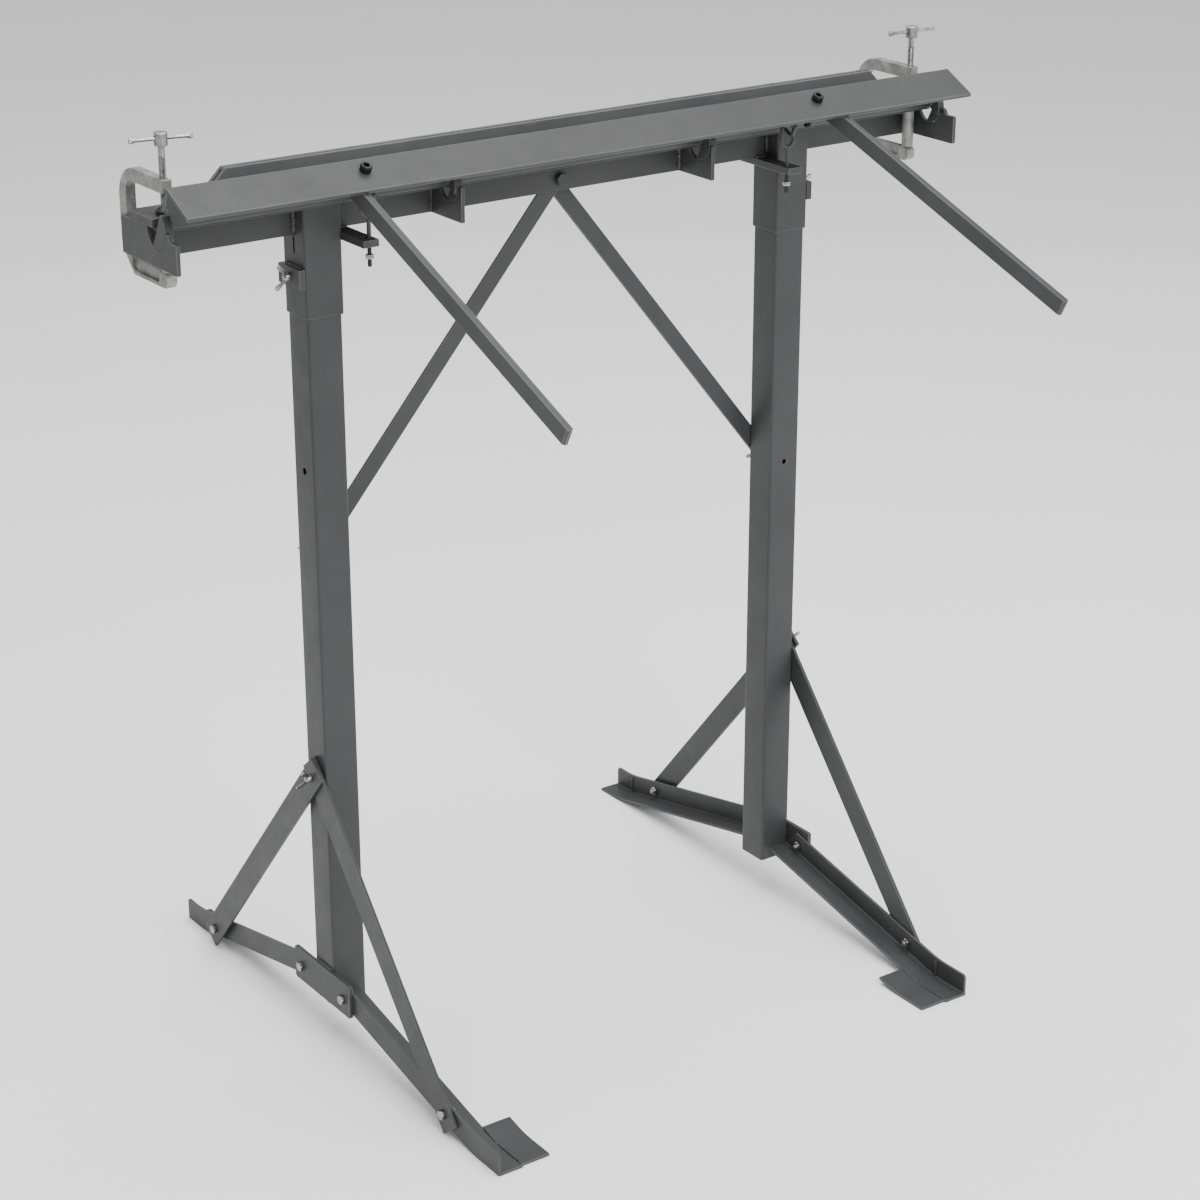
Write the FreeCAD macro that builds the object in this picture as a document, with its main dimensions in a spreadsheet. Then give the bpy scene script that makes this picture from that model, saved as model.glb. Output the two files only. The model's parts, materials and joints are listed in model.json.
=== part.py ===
"""Sheet-metal bending brake on a folding stand.

A bed of tee section stands on two square telescopic legs with folding feet. A leaf of angle section
turns about the front edge of the bed on half-moon bearings, and bends the sheet that the clamp bar
holds down. Two C-clamps press the clamp bar, and braces stiffen the legs.

Frame: +Z up, the floor at Z = 0, +X to the right along the bed, the operator at -Y.
"""
import FreeCAD, Part
import os
import re
import Sketcher

Vector = FreeCAD.Vector
X_AXIS = Vector(1, 0, 0)
Y_AXIS = Vector(0, 1, 0)
Z_AXIS = Vector(0, 0, 1)

# name, value in millimetres or degrees, what it is
SIZES = [
    # whole machine
    ("bed_top", 1274, "height of the working face above the floor"),
    ("leg_y", 52.3, "Y of the leg axes and of the bed web"),
    ("leg_x", 400.6, "X of the leg axes"),
    # bed
    ("bed_half", 648.7, "half length of the bed between the end plates"),
    ("bed_flange", 100, "width of the bed flange"),
    ("plate", 6, "plate thickness used all over the head"),
    ("bed_deep", 50.5, "bed height, working face to the web's lower edge"),
    ("cheek_front", 104, "reach of an end plate in front of the legs"),
    ("cheek_shoulder", 9, "drop of the end plate's shoulder below the working face"),
    ("lip_top", 1, "drop of the bearing lip below the working face"),
    ("lip_front", 82, "front of the bearing lip from the web's middle"),
    ("lip_step", 86, "foot of the step in front of the lip"),
    ("lip_chamfer", 6, "width of the slope that leads down to the bearing lip"),
    ("cheek_round", 3, "radius of the end plate's front corners"),
    ("cradle_radius", 26, "radius of the half-round cradles"),
    ("support_x", 209, "inner face of an inner hinge support"),
    ("support_front", 81, "front of an inner hinge support"),
    ("support_seat", 20, "length of an inner support under the bed flange"),
    ("support_notch", 12, "depth of an inner support's rear horn below the working face"),
    ("support_lip", 5, "width of an inner support's lip"),
    # leaf
    ("leaf_raise", 62.6, "how far the leaf is raised from flush as it stands"),
    ("leaf_half", 653, "half length of the leaf"),
    ("leaf_gap", 1, "gap between the leaf edge and the hinge axis"),
    ("leaf_face", 68, "width of the leaf's working flange from the hinge axis"),
    ("leaf_drop", 63, "width of the leaf's outer flange"),
    ("leaf_relief", 35, "radius round the hinge axis kept clear for the bearings"),
    ("leaf_relief_half", 647.7, "half length of the leaf inside that radius"),
    ("support_slot", 9, "width of the slots for the inner supports"),
    ("moon_radius", 25.6, "radius of the half-moon bearings"),
    ("moon_chord_left", 2, "drop of the left end bearing's flat below the working face"),
    ("moon_chord_right", 6, "the same drop on the right end bearing"),
    ("moon_chord_inner", 6.5, "the same drop on an inner bearing"),
    # leaf handles
    ("handle_wide", 10, "handle bar thickness along X"),
    ("handle_deep", 25, "handle bar depth"),
    ("handle_start", 8, "distance of the handle's rear end from the working flange"),
    ("grip_line", 24.7, "distance of the handle screws from the leaf's rear corner"),
    ("handle_splay_left", 4.05, "turn of the left handle towards the right"),
    ("handle_splay_right", 10.78, "turn of the right handle towards the right"),
    ("handle_reach_left", 507, "left handle from its screw line to the tip"),
    ("handle_reach_right", 482, "right handle from its screw line to the tip"),
    ("handle_left_x", -395.3, "X of the left handle at its screw line"),
    ("handle_right_x", 405.6, "X of the right handle at its screw line"),
    ("screw_left_x", -376, "X of the left handle screw"),
    ("screw_right_x", 382, "X of the right handle screw"),
    ("lug_half", 12, "half width of the handle lugs"),
    ("lug_past", 10, "handle lug beyond its screw"),
    ("handle_chamfer", 3, "chamfer at the tip of a handle"),
    ("screw_below", 47, "reach of the handle screws below the outer flange's face"),
    # lifting eyes
    ("eye_x", 355, "X of the eye bolts"),
    ("eye_y", 72, "distance of the eye bolts in front of the legs"),
    ("eye_rod", 3, "radius of the eye bolt's rod"),
    ("eye_ring", 11, "radius of the eye, to the rod's middle"),
    ("eye_top", 13.5, "middle of the eye's top bar above the working face"),
    ("eye_tall", 35.5, "eye height between the middles of its top and bottom bars"),
    ("eye_nut", 6, "corner radius and height of the eye bolt's nut"),
    ("eye_nut_high", 11, "underside of the eye bolt's nut above its lower end"),
    ("eye_shank_end", 1184, "lower end of the eye bolt above the floor"),
    ("staple_rod", 2.5, "radius of the staple's rod"),
    ("staple_near", 10, "near leg of the staple from the hinge axis"),
    ("staple_far", 32, "far leg of the staple from the hinge axis"),
    ("staple_deep", 30.4, "middle of the staple's bow below the working face"),
    ("staple_bend", 6, "bend radius of the staple"),
    ("eye_bar_wide", 24, "width of the eye bars"),
    ("eye_bar_thick", 10, "thickness of the eye bars"),
    ("eye_bar_front", 86, "reach of the eye bars in front of the legs"),
    # clamp bar
    ("bar_half", 654.7, "half length of the clamp bar's base"),
    ("bar_front", -40, "front of the clamp bar's base from the legs"),
    ("bar_back", 25, "rear of the clamp bar's base from the legs"),
    ("bar_thick", 11.7, "thickness of the clamp bar's base"),
    ("rib_front", -33.5, "front of the front rib from the legs"),
    ("rib_gap", 5, "gap between the ribs"),
    ("rib_tall", 49.6, "height of the ribs"),
    ("rib_top_half", 542, "half length of the ribs at the top"),
    ("rib_foot_half", 592, "half length of the ribs at the base"),
    ("spacer_pitch", 177, "distance between the spacers in the ribs"),
    ("spacer_long", 30, "length of a spacer"),
    ("spacer_drop", 1.5, "top of the spacers below the ribs' top"),
    # C-clamps
    ("clamp_x", 628, "X of the C-clamps"),
    ("clamp_wide", 15, "width of the C-clamp frame"),
    ("clamp_y", -25, "Y of the clamp screw from the legs"),
    ("clamp_tip", -35, "front of the jaws from the legs"),
    ("spine_front", 71, "front of the spine from the legs"),
    ("spine_back", 91, "rear of the spine from the legs"),
    ("jaw_low", 40, "underside of the upper jaw above the working face"),
    ("jaw_high", 58, "top of the upper jaw above the working face"),
    ("heel_high", -65, "top of the lower jaw from the working face"),
    ("heel_low", -86, "underside of the lower jaw from the working face"),
    ("spine_round", 44, "radius of the upper outer corner"),
    ("throat_round", 14, "radius of the inner corners"),
    ("heel_round", 9, "radius of the lower jaw's upper corner at its tip"),
    ("toe_round", 10, "radius of the lower jaw's lower corner at its tip"),
    ("heel_back", 31, "start of the lower jaw's slope from the spine's rear"),
    ("heel_turn", 7, "end of that slope from the spine's rear"),
    ("heel_rise", 4, "end of that slope above the lower jaw's top"),
    ("spine_rise", 18, "start of the straight spine above the lower jaw's top"),
    ("anvil_radius", 8.75, "radius of the anvil on the lower jaw"),
    ("pad_radius", 12, "radius of the swivel pad"),
    ("pad_tall", 10, "height of the swivel pad"),
    ("clamp_screw", 4.7, "radius of the clamp screw"),
    ("clamp_head", 9, "radius of the clamp screw's head"),
    ("head_low", 100, "underside of the screw's head above the working face"),
    ("head_tall", 18, "height of the screw's head"),
    ("tommy_radius", 2.75, "radius of the tommy bar"),
    ("tommy_long", 84, "length of the tommy bar"),
    ("tommy_end", 4.2, "radius of the tommy bar's flared ends"),
    ("tommy_flare", 9, "length of the tommy bar's flared ends"),
    ("cross_rise", 1, "tommy bar above the middle of the head"),
    ("tommy_turn_left", 170, "direction of the left tommy bar"),
    ("tommy_turn_right", 176.6, "direction of the right tommy bar"),
    # sleeves and leg tubes
    ("sleeve_wide", 58, "outer width of the sleeves"),
    ("sleeve_low", 156.5, "sleeve length below the bed flange"),
    ("sleeve_corner", 3.5, "outer corner radius of the sleeves"),
    ("tube_wide", 53.6, "outer width of the leg tubes"),
    ("tube_wall", 2, "wall of the leg tubes"),
    ("tube_corner", 4, "outer corner radius of the leg tubes"),
    ("tube_foot", 61.7, "height of the leg tube's lower end above the floor"),
    ("slip", 0.3, "gap between surfaces that slide or turn on each other"),
    ("boss_thick", 9, "thickness of the wing screw's boss"),
    ("boss_low", 1154, "underside of the boss above the floor"),
    ("boss_tall", 27, "height of the boss"),
    ("key_high", 1218, "height of the keyhole's round end above the floor"),
    ("key_radius", 4, "radius of the keyhole's round end"),
    ("key_half", 2.5, "half width of the keyhole's slot"),
    ("key_long", 19, "length of the keyhole's slot"),
    ("pin_high", 889, "height of the spare hole in the leg tube's side"),
    ("pin_radius", 5, "radius of the spare hole"),
    # feet
    ("foot_plate_half", 80, "half length of the foot bracket plate"),
    ("foot_plate_low", 64, "lower edge of the foot bracket plate"),
    ("foot_plate_tall", 53, "height of the foot bracket plate"),
    ("foot_plate_round", 4, "corner radius of the foot bracket plate"),
    ("foot_pivot_y", 60.5, "foot pivot from the leg axis"),
    ("foot_pivot_z", 89, "foot pivot above the floor"),
    ("arm_start", 30, "inner end of a foot arm from the leg axis"),
    ("arm_bend", 400, "bend of a foot arm from the leg axis"),
    ("arm_front_end", 465, "end of a front arm from the leg axis"),
    ("arm_back_end", 445, "end of a rear arm from the leg axis"),
    ("arm_slope", 12, "fall of a foot arm"),
    ("arm_wide", 40, "width of the foot arm's flat wall"),
    ("arm_tall", 35, "height of the foot arm's upright wall"),
    ("arm_trim", 24, "length of the slanted cut at the upright wall's inner end"),
    ("arm_round", 6, "radius of the upright wall's outer corner"),
    ("arm_wall", 4, "thickness of the foot arm's angle section"),
    ("shoe_inner", 341, "inner edge of the front shoe from the middle plane"),
    ("shoe_start", 362, "rear edge of the front shoe from the leg axis"),
    ("shoe_end", 462, "front edge of the front shoe from the leg axis"),
    ("stay_wide", 40, "width of the foot braces"),
    ("stay_thick", 5, "thickness of the foot braces"),
    ("stay_over", 25, "foot brace beyond its holes"),
    ("stay_y", 332, "lower brace bolt from the leg axis"),
    ("stay_z", 33, "lower brace bolt above the floor"),
    ("stay_top", 425, "foot brace's upper hole above the floor"),
    ("stay_hole", 4.5, "radius of the foot brace's holes"),
    # bed braces
    ("brace_wide", 25, "width of the bed braces"),
    ("brace_thick", 5, "thickness of the bed braces"),
    ("brace_high", 1240.7, "height of the bolt that holds both bed braces"),
    ("brace_low", 745, "height of a bed brace's lower hole"),
    ("brace_tilt", 2.38, "lean of the left bed brace back from the web to the leg's rear face"),
    ("bush_radius", 7.5, "radius of the bush between the bed braces"),
    ("brace_over", 14, "bed brace beyond its holes"),
    # fasteners
    ("small_bolt", 4, "radius of the M8 bolts"),
    ("small_hex", 7.5, "corner radius of the M8 heads and nuts"),
    ("small_head", 5.5, "height of the M8 heads and nuts"),
    ("small_proud", 4, "M8 bolt beyond its nut"),
    ("big_bolt", 5, "radius of the M10 bolts"),
    ("big_proud", 3, "M10 bolt beyond its nut"),
    ("big_hex", 9.8, "corner radius of the M10 heads and nuts"),
    ("big_head", 8, "height of the M10 heads and nuts"),
    ("socket_head", 8, "radius of the socket screws' heads"),
    ("socket_tall", 10, "height of the socket screws' heads"),
    ("socket_floor", 3, "floor left under the hexagon sockets"),
    ("socket_hex", 4.6, "corner radius of the hexagon sockets"),
    ("wing_span", 40, "span of the wing screws"),
    ("wing_thick", 2.6, "thickness of the wings"),
    ("wing_tall", 17, "height of the wings"),
    ("wing_hub", 6, "radius of the wing screw's hub"),
    ("wing_hub_top", 4.5, "radius of the hub's top"),
    ("wing_hub_tall", 9, "height of the wing screw's hub"),
    ("sleeve_wing_turn", 14.5, "lean of the sleeve wing screws' wings from upright"),
    ("foot_wing_turn", 31, "lean of the foot wing screws' wings from upright"),
]

doc = FreeCAD.newDocument("BendingBrake")
sheet = doc.addObject("Spreadsheet::Sheet", "Sizes")
for row, (word, value, meaning) in enumerate(SIZES, 1):
    sheet.set(f"A{row}", meaning)
    sheet.set(f"B{row}", str(value))
    sheet.setAlias(f"B{row}", word)
doc.recompute()

WORDS = {word for word, _, _ in SIZES}
subparts = []


# ---------------------------------------------------------------- helpers

def linked(text):
    """A size written with plain words, as an expression on the sheet."""
    return re.sub(r"[a-z_]+", lambda word: f"Sizes.{word[0]}" if word[0] in WORDS else word[0], str(text))


def number(text):
    """The value of such a size."""
    return float(sheet.evalExpression(linked(text)))


def bind(thing, **sizes):
    """Ties properties of an object to the sheet. A double underscore stands for a dot."""
    for prop, text in sizes.items():
        thing.setExpression(prop.replace("__", "."), linked(text))


def put(thing, at=("0", "0", "0"), axis=None, turn="0"):
    """Places an object by expressions: a turn about an axis, then a shift."""
    if axis is not None:
        thing.Placement = FreeCAD.Placement(Vector(), FreeCAD.Rotation(axis, number(turn)))
        bind(thing, Placement__Rotation__Angle=f"({turn}) * 1 deg")
    bind(thing, Placement__Base__x=at[0], Placement__Base__y=at[1], Placement__Base__z=at[2])
    return thing


def keep(thing, label):
    """Marks an object as a sub-part, under the name that its file takes."""
    thing.Label = label
    subparts.append(thing)
    return thing


def box(low, size):
    block = doc.addObject("Part::Box", "Box")
    bind(block, Length=size[0], Width=size[1], Height=size[2])
    return put(block, low)


def rod(radius, length, at, axis=None, turn="0"):
    """A cylinder that runs along +Z unless it is turned."""
    cylinder = doc.addObject("Part::Cylinder", "Rod")
    bind(cylinder, Radius=radius, Height=length)
    return put(cylinder, at, axis, turn)


def along_x(radius, length, at):
    return rod(radius, length, at, Y_AXIS, "90")


def along_y(radius, length, at):
    return rod(radius, length, at, X_AXIS, "-90")


def hexagon(radius, length, at, axis=None, turn="0"):
    prism = doc.addObject("Part::Prism", "Hexagon")
    prism.Polygon = 6
    bind(prism, Circumradius=radius, Height=length)
    return put(prism, at, axis, turn)


def bend(radius, rod_radius, sweep, at, axis, turn):
    """A bent piece of rod, a part of a ring."""
    ring = doc.addObject("Part::Torus", "Bend")
    bind(ring, Radius1=radius, Radius2=rod_radius, Angle3=sweep)
    return put(ring, at, axis, turn)


def fuse(*pieces):
    whole = doc.addObject("Part::MultiFuse", "Joined")
    whole.Shapes = list(pieces)
    return whole


def cut(base, *tools):
    rest = doc.addObject("Part::Cut", "Trimmed")
    rest.Base = base
    rest.Tool = tools[0] if len(tools) == 1 else fuse(*tools)
    return rest


def common(first, second):
    shared = doc.addObject("Part::Common", "Shared")
    shared.Base = first
    shared.Tool = second
    return shared


def mirrored(thing, label):
    """The same piece on the other side of the middle plane."""
    twin = doc.addObject("Part::Mirroring", "Twin")
    twin.Source = thing
    twin.Base = Vector()
    twin.Normal = X_AXIS
    return keep(twin, label)


def pair(thing, name):
    """Keeps a right-hand piece and its mirror image."""
    keep(thing, f"{name}_right")
    mirrored(thing, f"{name}_left")


def sketch_on(body, role, offset):
    """An empty sketch parallel to one of the body's own planes."""
    drawing = body.newObject("Sketcher::SketchObject", "Outline")
    plane = next(item for item in body.Origin.OriginFeatures if item.Role == role)
    drawing.AttachmentSupport = [(plane, "")]
    drawing.MapMode = "FlatFace"
    bind(drawing, AttachmentOffset__Base__z=offset)
    return drawing


def dimension(drawing, kind, text, *where):
    index = drawing.addConstraint(Sketcher.Constraint(kind, *where, number(text)))
    drawing.setExpression(f"Constraints[{index}]", linked(text))


def polygon(drawing, points):
    """A closed outline whose corners are tied to the sheet."""
    corners = [Vector(number(across), number(up), 0) for across, up in points]
    first = drawing.GeometryCount
    count = len(points)
    for index, corner in enumerate(corners):
        drawing.addGeometry(Part.LineSegment(corner, corners[(index + 1) % count]), False)
    for index, (across, up) in enumerate(points):
        line = first + index
        drawing.addConstraint(Sketcher.Constraint("Coincident", line, 2, first + (index + 1) % count, 1))
        dimension(drawing, "DistanceX", across, -1, 1, line, 1)
        dimension(drawing, "DistanceY", up, -1, 1, line, 1)
    return drawing


def circle(drawing, across, up, radius):
    ring = Part.Circle(Vector(number(across), number(up), 0), Z_AXIS, number(radius))
    index = drawing.addGeometry(ring, False)
    dimension(drawing, "Radius", radius, index)
    dimension(drawing, "DistanceX", across, -1, 1, index, 3)
    dimension(drawing, "DistanceY", up, -1, 1, index, 3)
    return drawing


def rectangle(drawing, low, high):
    return polygon(drawing, [low, (high[0], low[1]), high, (low[0], high[1])])


def square(drawing, half):
    """A square about the leg axis."""
    return rectangle(drawing, (f"leg_x - {half}", f"leg_y - {half}"), (f"leg_x + {half}", f"leg_y + {half}"))


def pad(body, drawing, length):
    feature = body.newObject("PartDesign::Pad", "Pad")
    feature.Profile = drawing
    bind(feature, Length=length)
    return feature


def pocket(body, drawing, length):
    """Cuts along the sketch's own normal and makes sure that something was cut."""
    doc.recompute()
    before = body.Shape.Volume
    feature = body.newObject("PartDesign::Pocket", "Pocket")
    feature.Profile = drawing
    feature.Reversed = True
    bind(feature, Length=length)
    doc.recompute()
    if body.Shape.Volume > before - 1e-3:
        raise RuntimeError(f"a pocket of {body.Label} cuts nothing")
    return feature


def round_edges(body, radius, chosen):
    """Rounds the edges of a body that the test picks by their middle and direction."""
    doc.recompute()
    base = body.Tip
    names = []
    for index, edge in enumerate(base.Shape.Edges, 1):
        if len(edge.Vertexes) == 2 and isinstance(edge.Curve, Part.Line):
            way = edge.Vertexes[1].Point - edge.Vertexes[0].Point
            if chosen(edge.CenterOfMass, way.normalize()):
                names.append(f"Edge{index}")
    feature = body.newObject("PartDesign::Fillet", "Rounding")
    feature.Base = (base, names)
    bind(feature, Radius=radius)
    doc.recompute()
    return feature


def near(value, text, reach=0.05):
    return abs(value - number(text)) < reach


def plate(role, start, thick, points):
    """A flat plate of any outline. The plane's normal says which way it is thick."""
    body = doc.addObject("PartDesign::Body", "Plate")
    pad(body, polygon(sketch_on(body, role, start), points), thick)
    return body


# ---------------------------------------------------------------- bed

HINGE_Y = "leg_y - bed_flange / 2"
BED_LOW = "bed_top - bed_deep"
FLANGE_LOW = "bed_top - plate"
WEB_FRONT = "leg_y - plate / 2"


def bed_tee():
    """Flange and web, with the bolt hole for the braces."""
    flange = box(("-bed_half", HINGE_Y, FLANGE_LOW), ("2 * bed_half", "bed_flange", "plate"))
    web = box(("-bed_half", WEB_FRONT, BED_LOW), ("2 * bed_half", "plate", "bed_deep - plate"))
    hole = along_y("big_bolt", "2 * plate", ("0", "leg_y - plate", "brace_high"))
    keep(cut(fuse(flange, web), hole), "bed_tee")


def cradle_cut(body, start, thick):
    """The half-round seat of a half-moon bearing."""
    doc.recompute()
    pocket(body, circle(sketch_on(body, "YZ_Plane", start), HINGE_Y, "bed_top", "cradle_radius"), thick)


def end_plate():
    """End cheek with cradle, bearing lip and the low shoulder that lets the leaf go past."""
    body = plate("YZ_Plane", "bed_half", "plate", [
        ("leg_y - cheek_front", BED_LOW),
        ("leg_y + bed_flange / 2", BED_LOW),
        ("leg_y + bed_flange / 2", "bed_top"),
        ("leg_y - lip_front + lip_chamfer", "bed_top"),
        ("leg_y - lip_front", "bed_top - lip_top"),
        ("leg_y - lip_step", "bed_top - cheek_shoulder"),
        ("leg_y - cheek_front", "bed_top - cheek_shoulder"),
    ])
    cradle_cut(body, "bed_half", "plate")
    round_edges(body, "cheek_round",
                lambda middle, way: abs(way.x) > 0.9 and near(middle.y, "leg_y - cheek_front"))
    pair(body, "end_plate")


def hinge_support():
    """Inner support with a cradle, welded to the front of the web."""
    body = plate("YZ_Plane", "support_x", "plate", [
        ("leg_y - support_front", BED_LOW),
        (WEB_FRONT, BED_LOW),
        (WEB_FRONT, FLANGE_LOW),
        ("leg_y - bed_flange / 2 + support_seat", FLANGE_LOW),
        ("leg_y - bed_flange / 2", "bed_top - support_notch"),
        ("leg_y - support_front + support_lip", "bed_top - lip_top"),
        ("leg_y - support_front", "bed_top - lip_top"),
    ])
    cradle_cut(body, "support_x", "plate")
    pair(body, "hinge_support")


def leg_sleeve():
    """Socket for a leg tube: notched over the web, with a boss for the wing screw and a keyhole."""
    body = doc.addObject("PartDesign::Body", "Sleeve")
    half = "sleeve_wide / 2"
    bottom = "bed_top - plate - sleeve_low"
    outline = sketch_on(body, "XY_Plane", bottom)
    square(outline, half)
    pad(body, outline, "sleeve_low")
    round_edges(body, "sleeve_corner", lambda middle, way: abs(way.z) > 0.9)
    inside = "(tube_wide / 2 + slip)"
    bore = sketch_on(body, "XY_Plane", bottom)
    square(bore, inside)
    pocket(body, bore, "sleeve_low")
    notch = sketch_on(body, "YZ_Plane", f"leg_x - {half}")
    rectangle(notch, (WEB_FRONT, BED_LOW), ("leg_y + plate / 2", FLANGE_LOW))
    pocket(body, notch, "sleeve_wide")
    boss = sketch_on(body, "YZ_Plane", f"leg_x + {half}")
    rectangle(boss, (f"leg_y - {half}", "boss_low"),
              (f"leg_y + {half}", "boss_low + boss_tall"))
    pad(body, boss, "boss_thick")
    outer = "leg_x + tube_wide / 2"
    screw_hole = sketch_on(body, "YZ_Plane", outer)
    circle(screw_hole, "leg_y", "boss_low + boss_tall / 2", "small_bolt + slip")
    pocket(body, screw_hole, "sleeve_wide / 2")
    key_round = sketch_on(body, "YZ_Plane", outer)
    circle(key_round, "leg_y", "key_high", "key_radius")
    pocket(body, key_round, "plate")
    key_slot = sketch_on(body, "YZ_Plane", outer)
    rectangle(key_slot, ("leg_y - key_half", "key_high - key_long"), ("leg_y + key_half", "key_high"))
    pocket(body, key_slot, "plate")
    pair(body, "leg_sleeve")


def eye_bar():
    """Short bar under the web that guides the eye bolt."""
    right = "leg_x - sleeve_wide / 2"
    bar = box((f"{right} - eye_bar_wide", "leg_y - eye_bar_front", "bed_top - bed_deep - eye_bar_thick"),
              ("eye_bar_wide", "eye_bar_front + sleeve_wide / 2", "eye_bar_thick"))
    hole = rod("eye_rod + slip", "2 * eye_bar_thick",
               ("eye_x", "leg_y - eye_y", "bed_top - bed_deep - 1.5 * eye_bar_thick"))
    pair(cut(bar, hole), "eye_bar")


def brace_bolt():
    """Long hexagon bolt through the web, the pivot of both bed braces, with a bush between them."""
    bush_start = "leg_y + plate / 2 + brace_thick + 5 * slip"
    back = "leg_y + tube_wide / 2 + brace_thick + 2 * slip"
    head = hexagon("big_hex", "big_head", ("0", "leg_y - plate / 2 - big_head", "brace_high"), X_AXIS, "-90")
    shank = along_y("big_bolt", f"{back} - ({WEB_FRONT}) + big_head + big_proud",
                    ("0", WEB_FRONT, "brace_high"))
    bush = along_y("bush_radius", f"leg_y + tube_wide / 2 - ({bush_start})", ("0", bush_start, "brace_high"))
    nut = hexagon("big_hex", "big_head", ("0", back, "brace_high"), X_AXIS, "-90")
    keep(fuse(head, shank, bush, nut), "brace_bolt")


def clamp_frame():
    """C-clamp body with its anvil, gripping the bed flange from behind."""
    body = plate("YZ_Plane", "clamp_x - clamp_wide / 2", "clamp_wide", [
        ("leg_y + clamp_tip", "bed_top + jaw_low"),
        ("leg_y + spine_front", "bed_top + jaw_low"),
        ("leg_y + spine_front", "bed_top + heel_high"),
        ("leg_y + clamp_tip", "bed_top + heel_high"),
        ("leg_y + clamp_tip", "bed_top + heel_low"),
        ("leg_y + spine_back - heel_back", "bed_top + heel_low"),
        ("leg_y + spine_back - heel_turn", "bed_top + heel_high + heel_rise"),
        ("leg_y + spine_back", "bed_top + heel_high + spine_rise"),
        ("leg_y + spine_back", "bed_top + jaw_high"),
        ("leg_y + clamp_tip", "bed_top + jaw_high"),
    ])
    corners = [
        ("spine_round", "leg_y + spine_back", "bed_top + jaw_high"),
        ("throat_round", "leg_y + spine_front", "bed_top + jaw_low"),
        ("throat_round", "leg_y + spine_front", "bed_top + heel_high"),
        ("heel_round", "leg_y + clamp_tip", "bed_top + heel_high"),
        ("toe_round", "leg_y + clamp_tip", "bed_top + heel_low"),
    ]
    for radius, across, up in corners:
        round_edges(body, radius,
                    lambda middle, way: abs(way.x) > 0.9 and near(middle.y, across) and near(middle.z, up))
    thread = sketch_on(body, "XY_Plane", "bed_top + jaw_low")
    circle(thread, "clamp_x", "leg_y + clamp_y", "clamp_screw + slip")
    pocket(body, thread, "jaw_high - jaw_low")
    anvil = sketch_on(body, "XY_Plane", "bed_top + heel_high")
    circle(anvil, "clamp_x", "leg_y + clamp_y", "anvil_radius")
    pad(body, anvil, "-heel_high - plate")
    pair(body, "clamp_frame")


# ---------------------------------------------------------------- leaf

def on_leaf(thing, label):
    """Leaf pieces are drawn flush with the bed about the hinge axis, then raised to where they stand."""
    put(thing, ("0", HINGE_Y, "bed_top"), X_AXIS, "-leaf_raise")
    return keep(thing, label)


def leaf_angle():
    """Angle section with relieved ends and slots round the bearings."""
    face = box(("-leaf_half", "-leaf_face", "-plate"), ("2 * leaf_half", "leaf_face - leaf_gap", "plate"))
    drop = box(("-leaf_half", "-leaf_face", "-leaf_drop"), ("2 * leaf_half", "plate", "leaf_drop"))
    cuts = []
    for side in ("-leaf_half - 1", "leaf_relief_half"):
        cuts.append(box((side, "-leaf_relief", "-2 * plate"),
                        ("leaf_half - leaf_relief_half + 1", "leaf_relief", "3 * plate")))
    for middle in ("support_x + plate / 2", "-support_x - plate / 2"):
        cuts.append(box((f"{middle} - support_slot / 2", "-leaf_relief", "-2 * plate"),
                        ("support_slot", "leaf_relief", "3 * plate")))
    for middle in ("screw_left_x", "screw_right_x"):
        cuts.append(along_y("big_bolt", "2 * plate", (middle, "-leaf_face - 1", "-grip_line")))
    on_leaf(cut(fuse(face, drop), *cuts), "leaf_angle")


def half_moon(label, plate_low, inner_low, chord):
    """Half-round bearing: one half of its thickness turns in the cradle, the other is welded to the leaf."""
    disc = along_x("moon_radius", "plate", (plate_low, "0", "0"))
    turning = common(disc, box((plate_low, "-2 * moon_radius", f"-2 * moon_radius - {chord}"),
                               ("plate", "4 * moon_radius", "2 * moon_radius")))
    inner = along_x("moon_radius", "plate", (inner_low, "0", "0"))
    welded = common(inner, box((inner_low, "-2 * moon_radius - leaf_gap", "-2 * moon_radius - plate"),
                               ("plate", "2 * moon_radius", "2 * moon_radius")))
    on_leaf(fuse(turning, welded), label)


def half_moons():
    for side, sign in (("left", -1), ("right", 1)):
        outer = "bed_half" if sign > 0 else "-bed_half - plate"
        inner = "bed_half - plate" if sign > 0 else "-bed_half"
        half_moon(f"half_moon_{side}_end", outer, inner, f"moon_chord_{side}")
        seat = "support_x" if sign > 0 else "-support_x - plate"
        beside = "support_x + plate" if sign > 0 else "-support_x - 2 * plate"
        half_moon(f"half_moon_{side}_inner", seat, beside, "moon_chord_inner")


def leaf_staples():
    """Bent rods under the leaf that the eye bolts hold."""
    low = "-staple_deep + staple_bend"
    near_turn = "-staple_near - staple_bend"
    far_turn = "-staple_far + staple_bend"
    pieces = []
    for middle in ("-eye_x", "eye_x"):
        for leg in ("-staple_near", "-staple_far"):
            pieces.append(rod("staple_rod", "staple_deep - staple_bend - plate", (middle, leg, low)))
        pieces.append(along_y("staple_rod", "staple_far - staple_near - 2 * staple_bend",
                              (middle, far_turn, "-staple_deep")))
        for centre, turn in ((near_turn, 270), (far_turn, 180)):
            piece = doc.addObject("Part::Torus", "Bend")
            bind(piece, Radius1="staple_bend", Radius2="staple_rod", Angle3="90")
            upright = FreeCAD.Rotation(Vector(0, 1, 0), Vector(0, 0, 1), Vector(1, 0, 0), "ZXY")
            piece.Placement = FreeCAD.Placement(Vector(), upright.multiply(FreeCAD.Rotation(Z_AXIS, turn)))
            bind(piece, Placement__Base__x=middle, Placement__Base__y=centre, Placement__Base__z=low)
            pieces.append(piece)
    on_leaf(fuse(*pieces), "leaf_staples")


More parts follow.
